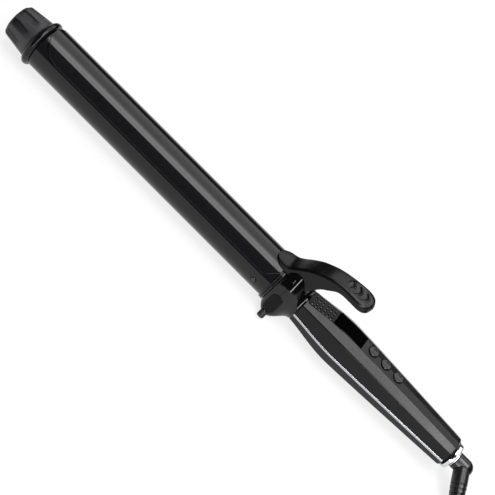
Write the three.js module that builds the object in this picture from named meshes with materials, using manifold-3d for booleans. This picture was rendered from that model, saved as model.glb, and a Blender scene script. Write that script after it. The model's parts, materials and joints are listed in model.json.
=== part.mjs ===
// A long-barrel curling iron with a spring clamp, a two-footed stand, a faceted handle with a
// display and three buttons, and a swivel cord that is put away as a tied hank.
//
// Millimetres. The tool is built along +X, from its cool tip to its cord, about the barrel's axis:
// +Z is the lever's side, -Y is the tool's left side. At the end the tool is set on its tip ring
// and its two feet, with the middle of its length over the origin.

import * as THREE from 'three';
import { mergeVertices } from 'three/addons/utils/BufferGeometryUtils.js';
import Module from 'manifold-3d';

const wasm = await Module();
wasm.setup();

// ---------------------------------------------------------------- driving dimensions

const fit = 0.3; // gap left between two pieces that seat on each other
const wall = 2.2; // moulded walls
const past = 60; // how far a cutting tool runs past what it cuts

// cool tip
const tipLength = 20.8;
const tipFrontRadius = 12.6;
const tipRearRadius = 15.3;
const tipFluteCount = 9;
const tipFluteDepth = 1.0;
const tipFluteTurn = 22; // degrees from the top to the middle of a flute
const tipRounding = 2.6; // of its front edge
const tipSkirt = 6; // the plain band behind the flutes
const tipPlugDepth = 8; // into the barrel
const tipRingRadius = 18.3;
const tipRingThickness = 5.6;

// barrel and heater
const barrelRadius = 16;
const barrelWall = 1.2;
const barrelExposed = 221.8;
const barrelSetback = 0.5; // from the collar's rear
const heaterStandoff = 20; // from the barrel's front end to the heat spreaders
const heaterClearance = 6.1; // from the heat spreaders to the carrier
const heaterPlateOverhang = 4; // past the spreaders, at each end
const heaterPlateWidth = 12;
const heaterPlateThickness = 2.4;
const sensorRadius = 1.1;
const sensorLength = 9;
const sensorSetback = 40; // from the spreaders' rear end
const fuseSetback = 25;
const carrierDepth = 12; // how far the carrier reaches into the barrel
const carrierNeckRadius = 9.7;
const carrierBoreRadius = 6;
const carrierTail = 20; // how far the carrier reaches into the handle
const barrelScrewRadius = 1.8;
const barrelScrewSetback = 10; // from the collar
const barrelScrewAngle = 96; // degrees from the top, on each side

// clamp
const clampClearance = 0.6;
const clampThickness = 1.4;
const clampHalfAngle = 64.5; // degrees from the top
const clampTongueLength = 19;
const clampTaperLength = 7.7; // its rear corners, cut back along the barrel
const clampRearHalfAngle = 37;

// hub and stand
const collarLength = 3.1;
const collarThickness = 1.2;
const hubFrontLength = 7;
const hubRearLength = 15.3;
const hubHalfWidth = 17; // beside the barrel's axis
const hubSwellFlat = 2.6; // how far behind the hinge the hub keeps its full section
const hubTail = 13.8; // where it has run out into the neck, behind the hinge
const hingeHeight = 18;
const hingePinRadius = 1.8;
const pinCover = 1.6; // what is left of the ear over the pin's end
const earHeight = 24.3;
const earHalfWidth = 13;
const slotHalfWidth = 9;
const slotFloor = 11.6;
const slotRearWall = 3.2; // between the slot and the handle
const footSplay = 52; // degrees from straight down
const footRadius = 2.7;
const footRounding = 1.2;
const footSocketDepth = 0.6;
const bossReach = 22.8;
const badgeLength = 17;
const badgeWidth = 9;
const badgeThickness = 0.8;
const badgeHeight = 5; // its top end, over the barrel's axis
const badgeLean = 6.5; // degrees that its foot stands out
const badgeSetback = 0.15; // its middle and the feet, behind the hinge

// lever
const leverToe = 20.8; // ahead of the hinge
const leverReach = 49.1; // behind the hinge
const leverRise = 25.1; // its top over the hinge
const leverThickness = 6.2;
const leverHalfWidth = 8.3;
const leverToeHalfWidth = 8.1;
const leverPadHalfWidth = 9.4;
const leverSkirt = 3; // its side walls under the hinge
const padLength = 22;
const padHalfWidth = 7.3;
const padInset = 2; // from the lever's end
const padThickness = 1.2;
const rivetRadius = 1.2;
const rivetHeadRadius = 2;
const rivetHeadDepth = 0.6; // countersunk
const rivetSpacing = 6;
const rivetSetback = 8; // from the lever's toe
const bracketHalfWidth = 5.4;
const bracketThickness = 0.8;
const bracketRim = 1.3; // ahead of the rivet heads
const knuckleRadius = 3.4; // the bracket's rolled eye
const springWire = 0.5;
const springTurns = 4;
const springPitch = 1.3;

// handle
const handleLength = 142.5;
const handleFrontRadius = 13.4;
const handleWidestRadius = 17.2;
const handleWidestAt = 37; // from the handle's front
const handleRearRadius = 12.2;
const handleChamfer = 2;
const handleChamferSlope = 0.9; // its drop over its length
const endWall = 2.5;
const trimHeight = 1.7;
const trimDrop = 1.3; // its middle, under the barrel's axis
const trimDepth = 1.6;
const trimProud = 0.25;

// controls
const gripPanelStart = 0.9;
const gripPanelLength = 21.2;
const gripPanelHalfWidth = 6.8;
const gripPanelThickness = 1.2;
const dotRadius = 0.75;
const dotHeight = 0.45;
const dotPitchAlong = 3.2;
const dotPitchAcross = 3.1;
const displayStart = 23;
const displayLength = 24.4;
const displayHalfWidth = 6.2;
const displayThickness = 1.2;
const moduleInset = 1.5;
const buttonStart = 55.8;
const buttonPitch = 12;
const buttonRadius = 4;
const buttonProud = 0.9;
const buttonTravel = 0.7;
const buttonFlange = 0.9; // the thickness and the width of the rim that holds it in
const boardTop = 6;
const boardOverhang = 2.5; // past the display and the last button
const boardThickness = 1.6;
const boardHalfWidth = 7.6;
const switchHeight = 1.9;
const powerBoardTop = -4.4;
const powerModuleHeight = 7;
const moduleStandoff = 18; // from each end of the power board
const supportRadius = 2;
const supportInset = 7.5; // from each end of the power board
const leadRadius = 0.9;
const leadSpacing = 4.4;
const leadDrop = 8; // where the leads leave the carrier's axis, before its end
const leadEnd = 6; // how far they reach over the power board
const handleScrewRadius = 1.3;
const postRadius = 3;
const handleScrewHead = 2.6;
const handleScrewInset = 14; // the rear screw, from the handle's rear end
const handleScrewGap = 9.8; // the front screw, behind the boards

// swivel and cord outlet
const swivelDrop = 1; // its axis, under the barrel's
const endCollarLength = 3.3;
const endCollarRadius = 10.4;
const washerLength = 1.2;
const washerRadius = 6.6;
const spindleRadius = 4.6;
const spindleTail = 4; // behind the end wall
const clipRadius = 7;
const clipThickness = 1.6;
const elbowRadius = 6.4;
const elbowLength = 8.1;
const outletTurn = 71.5; // degrees about the axis, from straight down towards the left
const outletBend = 66; // degrees off the axis
const bootOffset = 3.1;
const bootRadius = 5.8;
const bootEndRadius = 4.2;
const bootSleeve = 10.5;
const bootLength = 40;
const bootRibPitch = 3.5;
const bootRibDepth = 0.7;

// cord, hank and plug
const cordRadius = 3.1;
const hankRun = 124;
const hankInnerBend = 18.6;
const hankLayers = 4;
const tieThickness = 0.6;
const tieWidth = 9;
const tieSetback = 22;
const plugReliefLength = 22;
const plugLength = 33;
const plugWidth = 24;
const plugHeight = 15;
const bladeLength = 16;
const bladeWidth = 6.3;
const bladeThickness = 1.5;
const bladeSpacing = 12.7;

// ---------------------------------------------------------------- places along the tool

const ringRear = tipLength + tipRingThickness;
const barrelFront = ringRear + fit;
const collarFront = ringRear + barrelExposed;
const collarRear = collarFront + collarLength;
const hubFront = collarRear + fit;
const hingeX = hubFront + hubFrontLength;
const hubRear = hingeX + hubRearLength;
const handleFront = hubRear + fit;
const handleRear = handleFront + handleLength;
const endCollarFront = handleRear + fit;
const washerFront = endCollarFront + endCollarLength + fit;
const elbowFront = washerFront + washerLength + fit;
const elbowCentre = elbowFront + elbowLength;
const toolLength = elbowCentre + elbowRadius;

const tipFace = 3; // the thickness of the cap's front
const plugBoss = tipFrontRadius - wall - tipFluteDepth;
const ringTube = tipRingThickness / 2;
const barrelBore = barrelRadius - barrelWall;
const collarOuter = barrelRadius + collarThickness;
const clampInner = barrelRadius + clampClearance;
const clampOuter = clampInner + clampThickness;
const restHeight = tipRingRadius; // the axis over the surface that the tool lies on
const deg = THREE.MathUtils.degToRad;

// ---------------------------------------------------------------- finishes

const finish = (color, roughness, metalness) =>
  new THREE.MeshStandardMaterial({ color, roughness, metalness });

const gloss = finish(0x0b0b0c, 0.22, 0);
const satin = finish(0x151516, 0.42, 0);
const soft = finish(0x1d1d1f, 0.7, 0);
const coating = finish(0x0d0e10, 0.3, 0.35);
const chrome = finish(0xd8dade, 0.08, 1);
const steel = finish(0x9a9da1, 0.35, 1);
const aluminium = finish(0xb9bcc0, 0.45, 1);
const ceramic = finish(0xe4e0d4, 0.6, 0);
const board = finish(0x1c5a36, 0.6, 0);
const brass = finish(0xc9a24a, 0.3, 1);
const lensBlack = finish(0x020203, 0.05, 0);
const wireRed = finish(0x9c2a22, 0.6, 0);

// ---------------------------------------------------------------- geometry helpers

// One closed index on shared corners, without the slivers that a pole or a seam leaves.
function weld(geometry) {
  const bare = geometry.clone();
  bare.deleteAttribute('normal');
  bare.deleteAttribute('uv');
  const merged = mergeVertices(bare, 1e-4);
  const index = merged.index.array;
  const kept = [];
  for (let i = 0; i < index.length; i += 3) {
    const [a, b, c] = [index[i], index[i + 1], index[i + 2]];
    if (a !== b && b !== c && c !== a) kept.push(a, b, c);
  }
  merged.setIndex(kept);
  return merged;
}

function toManifold(geometry) {
  const welded = weld(geometry);
  return new wasm.Manifold(new wasm.Mesh({
    numProp: 3,
    vertProperties: new Float32Array(welded.attributes.position.array),
    triVerts: new Uint32Array(welded.index.array),
  }));
}

function fromManifold(manifold) {
  const { vertProperties, triVerts } = manifold.getMesh();
  const geometry = new THREE.BufferGeometry();
  geometry.setAttribute('position', new THREE.BufferAttribute(vertProperties, 3));
  geometry.setIndex(new THREE.BufferAttribute(triVerts, 1));
  return geometry;
}

function cut(geometry, ...tools) {
  const result = tools.reduce((body, tool) => body.subtract(toManifold(tool)), toManifold(geometry));
  return fromManifold(result);
}

function join(geometry, ...others) {
  const result = others.reduce((body, other) => body.add(toManifold(other)), toManifold(geometry));
  return fromManifold(result);
}

function keep(geometry, ...others) {
  const result = others.reduce((body, other) => body.intersect(toManifold(other)), toManifold(geometry));
  return fromManifold(result);
}

// A box between two corners.
function block([x0, y0, z0], [x1, y1, z1]) {
  const box = new THREE.BoxGeometry(x1 - x0, y1 - y0, z1 - z0);
  return box.translate((x0 + x1) / 2, (y0 + y1) / 2, (z0 + z1) / 2);
}

// Turns a profile of [x, radius] about the X axis. Closed profiles run front, outside, rear, inside.
function turned(profile, sides = 40) {
  const points = profile.map(([x, radius]) => new THREE.Vector2(radius, x));
  return new THREE.LatheGeometry(points, sides).rotateZ(-Math.PI / 2);
}

// A tube between two stations of the X axis; the first point closes the profile.
function sleeve(x0, x1, inner, outer, sides = 40) {
  return turned([[x0, inner], [x0, outer], [x1, outer], [x1, inner], [x0, inner]], sides);
}

// A round bar between two points.
function bar(from, to, radius, sides = 16, endRadius = radius) {
  const start = new THREE.Vector3(...from);
  const axis = new THREE.Vector3(...to).sub(start);
  const rod = new THREE.CylinderGeometry(endRadius, radius, axis.length(), sides);
  rod.translate(0, axis.length() / 2, 0);
  rod.applyQuaternion(new THREE.Quaternion().setFromUnitVectors(
    new THREE.Vector3(0, 1, 0), axis.clone().normalize()));
  return rod.translate(start.x, start.y, start.z);
}

// Skins a row of equal sections, each an array of [y, z] taken counter-clockwise seen from +X.
function loft(stations, sectionAt) {
  const sections = stations.map(sectionAt);
  const count = sections[0].length;
  const positions = sections.flatMap((section, i) => section.flatMap(([y, z]) => [stations[i], y, z]));
  const index = [];
  for (let i = 0; i + 1 < stations.length; i += 1) {
    for (let j = 0; j < count; j += 1) {
      const a = i * count + j;
      const b = i * count + (j + 1) % count;
      index.push(a, b + count, a + count, a, b, b + count);
    }
  }
  const lid = (section) => {
    const outline = section.map(([y, z]) => new THREE.Vector2(y, z));
    return THREE.ShapeUtils.triangulateShape(outline, []);
  };
  const last = (stations.length - 1) * count;
  for (const [a, b, c] of lid(sections[0])) index.push(a, c, b);
  for (const [a, b, c] of lid(sections[stations.length - 1])) index.push(last + a, last + b, last + c);
  const geometry = new THREE.BufferGeometry();
  geometry.setAttribute('position', new THREE.Float32BufferAttribute(positions, 3));
  geometry.setIndex(index);
  return geometry;
}

// Extrudes an outline of the X-Z plane across Y, from -halfWidth to halfWidth.
function acrossY(shape, halfWidth, curveSegments = 6) {
  const options = { depth: 2 * halfWidth, bevelEnabled: false, curveSegments };
  const slab = new THREE.ExtrudeGeometry(shape, options);
  return slab.rotateX(Math.PI / 2).translate(0, halfWidth, 0);
}

// Extrudes an outline of the X-Y plane upwards.
function upZ(shape, z0, z1, curveSegments = 8) {
  const options = { depth: z1 - z0, bevelEnabled: false, curveSegments };
  return new THREE.ExtrudeGeometry(shape, options).translate(0, 0, z0);
}

function circleShape(radius, sides) {
  const shape = new THREE.Shape();
  shape.setFromPoints(Array.from({ length: sides }, (_, i) => new THREE.Vector2(
    radius * Math.cos(i * 2 * Math.PI / sides), radius * Math.sin(i * 2 * Math.PI / sides))));
  return shape;
}

// A wire or cord of the given radius along a smooth curve through the points.
function wire(points, radius, sides = 8, steps = 4 * points.length) {
  const path = new THREE.CatmullRomCurve3(points.map((point) => new THREE.Vector3(...point)));
  return new THREE.ExtrudeGeometry(circleShape(radius, sides), { steps, extrudePath: path });
}

const tool = new THREE.Group();

function add(name, geometry, material) {
  const mesh = new THREE.Mesh(weld(geometry), material);
  mesh.name = name;
  tool.add(mesh);
  return mesh;
}

const sides = [['left', -1], ['right', 1]];
const range = (count) => Array.from({ length: count }, (_, i) => i);
const spread = (from, to, count) => range(count).map((i) => from + (to - from) * i / (count - 1));

// The point of the Y-Z plane at a distance and an angle from the top, on one side.
const polar = (radius, angle, side = 1) =>
  [side * radius * Math.sin(deg(angle)), radius * Math.cos(deg(angle))];

// ---------------------------------------------------------------- cool tip

// Shallow flutes run down the cap and fade out before its plain skirt.
function tipCap() {
  const fluteEnd = tipLength - tipSkirt;
  const fadeIn = 4.5;
  const fadeOut = 1.6;
  const stations = [0, tipRounding / 3, tipRounding, fadeIn, 2 * fadeIn, fluteEnd - fadeOut, fluteEnd,
    tipLength - fit];
  const outerAt = (x) => {
    const body = tipFrontRadius + (tipRearRadius - tipFrontRadius) * x / tipLength;
    const nose = Math.max(0, tipRounding - x);
    return body - tipRounding + Math.sqrt(tipRounding ** 2 - nose ** 2);
  };
  const fade = (x) => THREE.MathUtils.smoothstep(x, 0, fadeIn)
    * (1 - THREE.MathUtils.smoothstep(x, fluteEnd - fadeOut, fluteEnd));
  const pointsPerFlute = 5;
  const count = tipFluteCount * pointsPerFlute;
  const shell = loft(stations, (x) => range(count).map((j) => {
    const dip = tipFluteDepth * fade(x) * [1, 0.8, 0, 0, 0.8][j % pointsPerFlute];
    const angle = 2 * Math.PI * j / count + Math.PI / 2 + deg(tipFluteTurn);
    const radius = outerAt(x) - dip;
    return [radius * Math.cos(angle), radius * Math.sin(angle)];
  }));
  return cut(shell, sleeve(tipFace, tipLength + 1, 0, plugBoss + fit, 24));
}

function tipRing() {
  const middle = tipLength + ringTube;
  const centre = tipRingRadius - ringTube;
  const round = range(11).map((i) => {
    const angle = 2 * Math.PI * i / 10;
    return [middle - ringTube * Math.cos(angle), centre + ringTube * Math.sin(angle)];
  });
  return turned(round, 36);
}

// The insulating plug fills the barrel's end, passes through the ring and carries the cap.
function tipPlug() {
  const neck = tipRingRadius - tipRingThickness - fit;
  const shoulder = barrelFront + 1;
  const end = barrelFront + tipPlugDepth;
  return turned([
    [tipFace + fit, 0], [tipFace + fit, plugBoss], [tipLength, plugBoss], [tipLength, neck],
    [shoulder, neck], [shoulder, barrelBore - fit], [end, barrelBore - fit], [end, 0],
  ], 32);
}

add('tip_cap', tipCap(), satin);
add('tip_ring', tipRing(), gloss);
add('tip_plug', tipPlug(), ceramic);

// ---------------------------------------------------------------- barrel and heater

const barrelRear = collarRear - barrelSetback;
const barrelScrewX = collarFront - barrelScrewSetback;
const carrierFront = barrelScrewX - carrierDepth / 2;
const heaterFront = barrelFront + heaterStandoff;
const heaterRear = carrierFront - heaterClearance;

// A round hole through the barrel's wall for each retaining screw.
function screwAxis(side, inner, outer) {
  const x = barrelScrewX;
  const from = polar(inner, barrelScrewAngle, side);
  const to = polar(outer, barrelScrewAngle, side);
  return [[x, ...from], [x, ...to]];
}

function barrelTube() {
  const tube = sleeve(barrelFront, barrelRear, barrelBore, barrelRadius, 40);
  const holes = sides.map(([, side]) => {
    const [from, to] = screwAxis(side, barrelBore - 2, barrelRadius + 2);
    return bar(from, to, barrelScrewRadius + fit / 2, 12);
  });
  return cut(tube, ...holes);
}

// Half-round aluminium that carries the plate's heat to the barrel.
function heatSpreader(up) {
  const radius = barrelBore - fit;
  const flat = heaterPlateThickness / 2 + fit;
  const start = Math.asin(flat / radius);
  const arc = range(15).map((i) => start + (Math.PI - 2 * start) * i / 14);
  const section = arc.map((angle) => [radius * Math.cos(angle), up * radius * Math.sin(angle)]);
  if (up < 0) section.reverse();
  return loft([heaterFront, heaterRear], () => section);
}

function heaterPlate() {
  const [w, h] = [heaterPlateWidth / 2, heaterPlateThickness / 2];
  return block([heaterFront - heaterPlateOverhang, -w, -h], [heaterRear + heaterPlateOverhang, w, h]);
}

// The sensor and the fuse lie beside the plate, between the spreaders.
function besidePlate(side, x) {
  const y = side * (heaterPlateWidth / 2 + sensorRadius + fit);
  return bar([x, y, 0], [x + sensorLength, y, 0], sensorRadius, 12);
}

// The carrier holds the barrel from inside, passes through the hub and ends in the handle.
function barrelCarrier() {
  const front = carrierFront;
  const outer = barrelBore - fit;
  const tail = handleFront + carrierTail;
  const body = turned([
    [front, carrierBoreRadius], [front, outer], [barrelRear, outer],
    [barrelRear, carrierNeckRadius], [tail, carrierNeckRadius], [tail, carrierBoreRadius],
    [front, carrierBoreRadius],
  ], 32);
  const holes = sides.map(([, side]) => {
    const [from, to] = screwAxis(side, outer - 4, barrelRadius);
    return bar(from, to, barrelScrewRadius - 0.3, 12);
  });
  return cut(body, ...holes);
}

// A pan head over the barrel, its slot across the barrel's length, and a shank in the carrier.
function barrelScrew(side) {
  const [from, to] = screwAxis(side, barrelBore - fit - 3.5, barrelRadius + 0.5);
  const [, seat] = screwAxis(side, 0, barrelRadius - 0.9);
  const [, slotFrom] = screwAxis(side, 0, barrelRadius + 0.05);
  const head = join(bar(seat, to, barrelScrewRadius, 12), bar(from, to, barrelScrewRadius - 0.6, 10));
  const slot = block([-0.35, -1.4, 0], [0.35, 1.4, 2]);
  slot.rotateX(-side * deg(barrelScrewAngle));
  return cut(head, slot.translate(...slotFrom));
}

add('barrel_tube', barrelTube(), coating);
add('heat_spreader_upper', heatSpreader(1), aluminium);
add('heat_spreader_lower', heatSpreader(-1), aluminium);
add('heater_plate', heaterPlate(), ceramic);
add('temperature_sensor', besidePlate(1, heaterRear - sensorSetback), brass);
add('thermal_fuse', besidePlate(-1, heaterRear - fuseSetback), steel);
add('barrel_carrier', barrelCarrier(), ceramic);
for (const [name, side] of sides) add(`barrel_screw_${name}`, barrelScrew(side), steel);

// ---------------------------------------------------------------- clamp

const clampFront = barrelFront + 0.6;
const clampRear = collarFront - fit;

// A strip of the tube around the barrel, with a rounded tongue towards the tip and cut rear corners.
function clampPlate() {
  const straightFrom = clampFront + clampTongueLength;
  const straightTo = clampRear - clampTaperLength;
  const halfAngleAt = (x) => {
    const back = Math.max(0, straightFrom - x) / clampTongueLength;
    const taper = Math.max(0, x - straightTo) / clampTaperLength;
    const narrowing = taper * (clampHalfAngle - clampRearHalfAngle);
    return deg(clampHalfAngle * Math.sqrt(Math.max(0.0008, 1 - back ** 2)) - narrowing);
  };
  const nose = range(8).map((i) => clampFront + clampTongueLength * (1 - Math.cos(Math.PI * i / 14)));
  const arcPoints = 17;
  return loft([...nose, straightFrom, straightTo, clampRear], (x) => {
    const half = halfAngleAt(x);
    const arc = (radius, from, to) => spread(from, to, arcPoints)
      .map((angle) => [radius * Math.sin(angle), radius * Math.cos(angle)]);
    return [...arc(clampOuter, half, -half), ...arc(clampInner, -half, half)];
  });
}

// A stamped bracket, riveted to the clamp under the lever, that turns on the hinge pin.
const bracketBottom = clampOuter + fit;
const bracketTop = bracketBottom + bracketThickness;
const rivetX = hingeX - leverToe + rivetSetback;
const bracketFront = rivetX - rivetHeadRadius - bracketRim;
const springHalfLength = springTurns * springPitch / 2 + springWire;

function acrossHinge(halfLength, radius, facets = 20) {
  return bar([hingeX, -halfLength, hingeHeight], [hingeX, halfLength, hingeHeight], radius, facets);
}

// A pin through the clamp and the bracket, its countersunk head flush with the bracket's top.
function rivet(side, grow = 0) {
  const y = side * rivetSpacing / 2;
  const neck = bracketTop - rivetHeadDepth;
  const pin = bar([rivetX, y, clampInner + 0.1 - 2 * grow], [rivetX, y, neck + 0.1], rivetRadius + grow, 12);
  const head = bar([rivetX, y, neck], [rivetX, y, bracketTop + grow], rivetRadius + grow, 12,
    rivetHeadRadius + grow);
  return join(pin, head);
}

function clampBracket() {
  const plate = block([bracketFront, -bracketHalfWidth, bracketBottom],
    [hingeX, bracketHalfWidth, bracketTop]);
  const springGap = block([hingeX - knuckleRadius - 5 * fit, -springHalfLength - fit, 0],
    [hingeX + past, springHalfLength + fit, past]);
  const holes = sides.map(([, side]) => rivet(side, fit));
  const knuckle = acrossHinge(bracketHalfWidth, knuckleRadius);
  return cut(join(plate, knuckle), acrossHinge(past, hingePinRadius + fit), springGap, ...holes);
}

add('clamp_plate', cut(clampPlate(), ...sides.map(([, side]) => rivet(side, fit))), coating);
add('clamp_bracket', clampBracket(), steel);
for (const [name, side] of sides) add(`clamp_rivet_${name}`, rivet(side), steel);

// ---------------------------------------------------------------- lever

// The side view: from the toe on the clamp, up over the hinge, to the thumb pad; then back under.
function leverSideView() {
  const at = (dx, dz) => new THREE.Vector2(hingeX + dx, hingeHeight + dz);
  const over = (dx, share) =>
    new THREE.Vector2(hingeX + dx, bracketTop + share * (hingeHeight + leverRise - bracketTop));
  const shape = new THREE.Shape();
  const toe = -leverToe;
  const channelFront = hubFront + 3 * fit;
  shape.moveTo(hingeX + toe, 0);
  shape.lineTo(hingeX + toe, clampOuter + 3 * fit);
  shape.splineThru([
    over(0.93 * toe, 0), over(0.77 * toe, 0.026), over(0.47 * toe, 0.09), over(0.28 * toe, 0.207),
    over(0.05 * toe, 0.411), over(0.09 * leverReach, 0.608), over(0.19 * leverReach, 0.728),
    over(0.325 * leverReach, 0.857), over(0.51 * leverReach, 0.951), over(0.74 * leverReach, 0.986),
    over(0.91 * leverReach, 1),
  ]);
  const under = leverRise - leverThickness;
  shape.splineThru([at(0.98 * leverReach, leverRise - 0.26 * leverThickness),
    at(leverReach, leverRise - 0.6 * leverThickness), at(0.971 * leverReach, under + 0.05 * leverThickness)]);
  shape.splineThru([
    at(0.85 * leverReach, under), at(0.68 * leverReach, under - 0.02 * leverThickness),
    at(0.51 * leverReach, under - 0.27 * leverThickness),
    at(0.4 * leverReach, 0.5 * leverRise), at(0.3 * leverReach, 0.3 * leverRise),
    at(0.2 * leverReach, -0.67 * leverSkirt),
  ]);
  shape.lineTo(hingeX + 0.14 * leverReach, hingeHeight - leverSkirt);
  shape.lineTo(channelFront, hingeHeight - leverSkirt);
  shape.lineTo(channelFront, 0);
  return shape;
}

// The plan view: a rounded toe, a slim waist between the ears and a wider, round pad end.
function leverPlanView() {
  const toe = hingeX - leverToe;
  const end = hingeX + leverReach;
  const padMiddle = end - padInset - padLength / 2;
  const shape = new THREE.Shape();
  const edge = [
    [toe, 0], [toe + 0.024 * leverToe, 0.37 * leverToeHalfWidth],
    [toe + 0.144 * leverToe, 0.765 * leverToeHalfWidth], [toe + 0.385 * leverToe, leverToeHalfWidth],
    [hingeX, leverHalfWidth], [padMiddle - 0.59 * padLength, leverHalfWidth],
    [padMiddle, leverPadHalfWidth], [padMiddle + 0.32 * padLength, 0.936 * leverPadHalfWidth],
    [padMiddle + 0.51 * padLength, 0.553 * leverPadHalfWidth], [end, 0],
  ];
  const points = edge.map(([x, y]) => new THREE.Vector2(x, y));
  const back = edge.slice(0, -1).reverse().map(([x, y]) => new THREE.Vector2(x, -y));
  shape.moveTo(toe, 0);
  shape.splineThru(points.slice(1));
  shape.splineThru(back);
  return shape;
}

function leverBlank() {
  const tall = upZ(leverPlanView(), 0, hingeHeight + leverRise + past, 3);
  return keep(acrossY(leverSideView(), leverPadHalfWidth + past, 3), tall);
}

// The pocket for the thumb pad follows the slope of the lever's end.
function padTool(grow) {
  const middle = hingeX + leverReach - padInset - padLength / 2;
  const shape = new THREE.Shape();
  shape.absellipse(0, 0, padLength / 2 + grow, padHalfWidth + grow, 0, 2 * Math.PI);
  const tool = upZ(shape, -padThickness - grow, leverThickness, 12);
  tool.rotateY(-Math.atan2(0.05 * leverRise, 0.5 * leverReach));
  return tool.translate(middle, 0, hingeHeight + 0.985 * leverRise);
}

function lever(blank) {
  const seat = bar([hingeX - past, 0, 0], [hubFront + 3 * fit, 0, 0],
    Math.max(clampOuter, collarOuter) + fit, 64);
  const channelHalf = bracketHalfWidth + fit;
  const coilRoom = knuckleRadius + 4 * fit;
  const bracketRoom = block([bracketFront - fit, -channelHalf, 0], [hingeX, channelHalf, bracketTop + fit]);
  const springRoom = block([hingeX - coilRoom, -channelHalf, 0],
    [hingeX + 1.5 * coilRoom, channelHalf, hingeHeight + coilRoom]);
  return cut(blank, seat, bracketRoom, springRoom, acrossHinge(past, hingePinRadius + fit), padTool(fit));
}

const blank = leverBlank();
add('lever', lever(blank), satin);
add('lever_pad', keep(blank, padTool(0)), soft);

// ---------------------------------------------------------------- hub and stand

// Half of the hub's section at the hinge, from the top over the ear and the side to the bottom.
function hubHalfOutline() {
  const boss = polar(bossReach, 180 - footSplay);
  const points = [
    [0, earHeight], [slotHalfWidth - 1, earHeight], [slotHalfWidth + 1.4, earHeight - 0.6],
    [earHalfWidth - 1, earHeight - 2.7], [earHalfWidth, hingeHeight],
    [earHalfWidth + 0.4 * (hubHalfWidth - earHalfWidth), hingeHeight * 2 / 3],
    [hubHalfWidth - 0.9, hingeHeight / 3], [hubHalfWidth, 0], [hubHalfWidth + 0.6, 0.43 * boss[1]],
    [hubHalfWidth + 1.1, 0.78 * boss[1]], [boss[0] + 0.2, boss[1] + 0.8], [boss[0] - 1.6, boss[1] - 2],
    [boss[0] - 4.6, boss[1] - 2], [slotHalfWidth, boss[1] - 0.8], [0, boss[1]],
  ];
  const curve = new THREE.SplineCurve(points.map((point) => new THREE.Vector2(...point)));
  return curve.getPoints(2 * (points.length - 1)).map(({ x, y }) => [x, y]);
}

// The hub swells from the collar's circle to that section and closes down to the handle's neck.
function hubBody() {
  const half = hubHalfOutline();
  const { smoothstep } = THREE.MathUtils;
  const front = (x, power) => Math.max(0, 1 - ((hingeX - x) / hubFrontLength) ** 2) ** power;
  const rear = (x) => 1 - smoothstep(x, hingeX + hubSwellFlat, hingeX + hubTail);
  const roundAt = (x) =>
    collarOuter + (handleFrontRadius - collarOuter) * smoothstep(x, hingeX - hubSwellFlat, hingeX + hubTail);
  const stations = [
    ...[1, 0.985, 0.94, 0.85, 0.7, 0.48, 0.24].map((share) => hingeX - share * hubFrontLength),
    ...spread(hingeX, hubRear, 9),
  ];
  return loft(stations, (x) => {
    const side = half.map(([y, z]) => {
      const scale = roundAt(x) / Math.hypot(y, z);
      const amount = x < hingeX ? front(x, z > 0 ? 0.5 : 1) : rear(x);
      return [y * (scale + (1 - scale) * amount), z * (scale + (1 - scale) * amount)];
    });
    const other = side.slice(1, -1).reverse().map(([y, z]) => [-y, z]);
    return [...side, ...other].reverse();
  });
}

// The flat on each side of the hub that the badge sits in.
function badgeTool(side, grow, from, to) {
  const radius = badgeWidth / 2 + grow;
  const straight = badgeLength / 2 - badgeWidth / 2;
  const shape = new THREE.Shape();
  shape.absarc(0, straight, radius, 0, Math.PI);
  shape.absarc(0, -straight, radius, Math.PI, 2 * Math.PI);
  const plate = new THREE.ExtrudeGeometry(shape, { depth: to - from, bevelEnabled: false, curveSegments: 10 });
  plate.translate(0, 0, from).rotateX(Math.PI / 2);
  if (side > 0) plate.rotateZ(Math.PI);
  plate.rotateX(side * deg(badgeLean));
  const drop = badgeLength / 2;
  const y = side * (hubHalfWidth - badgeThickness / 2 + drop * Math.sin(deg(badgeLean)));
  return plate.translate(hingeX + badgeSetback, y, badgeHeight - drop * Math.cos(deg(badgeLean)));
}

// Each foot ends in a rounded edge that just reaches the surface.
function footAxis() {
  const [sin, cos] = [Math.sin(deg(footSplay)), Math.cos(deg(footSplay))];
  const flat = footRadius - footRounding;
  const centre = (restHeight - footRounding - flat * sin) / cos;
  return { end: centre + footRounding, sin, cos };
}

function foot(side, grow = 0) {
  const { end, sin, cos } = footAxis();
  const start = bossReach - footSocketDepth - grow;
  const flat = footRadius - footRounding;
  const rounded = spread(0, Math.PI / 2, 4).map((angle) => [
    flat + footRounding * Math.cos(angle), end - footRounding + footRounding * Math.sin(angle)]);
  const profile = grow > 0
    ? [[0, start], [footRadius + grow, start], [footRadius + grow, end + 5], [0, end + 5]]
    : [[0, start], [footRadius, start], ...rounded, [0, end]];
  const body = new THREE.LatheGeometry(profile.map(([r, h]) => new THREE.Vector2(r, h)), 16);
  const direction = new THREE.Vector3(0, side * sin, -cos);
  body.applyQuaternion(new THREE.Quaternion().setFromUnitVectors(new THREE.Vector3(0, 1, 0), direction));
  return body.translate(hingeX + badgeSetback, 0, 0);
}

function hubPieces() {
  const slot = block([hubFront - past, -slotHalfWidth, slotFloor],
    [hubRear - slotRearWall, slotHalfWidth, past]);
  const bore = bar([hubFront - past, 0, 0], [hubRear + past, 0, 0], carrierNeckRadius + fit, 32);
  const pin = acrossHinge(earHalfWidth - pinCover, hingePinRadius + fit, 16);
  const badges = sides.map(([, side]) => badgeTool(side, fit, -badgeThickness - fit, badgeWidth));
  const feet = sides.map(([, side]) => foot(side, fit));
  const whole = cut(hubBody(), slot, bore, pin, ...badges, ...feet);
  const split = (from, to) => keep(whole, block([from, -past, -past], [to, past, past]));
  return [split(hubFront - past, hingeX - fit / 2), split(hingeX + fit / 2, hubRear + past)];
}

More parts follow.
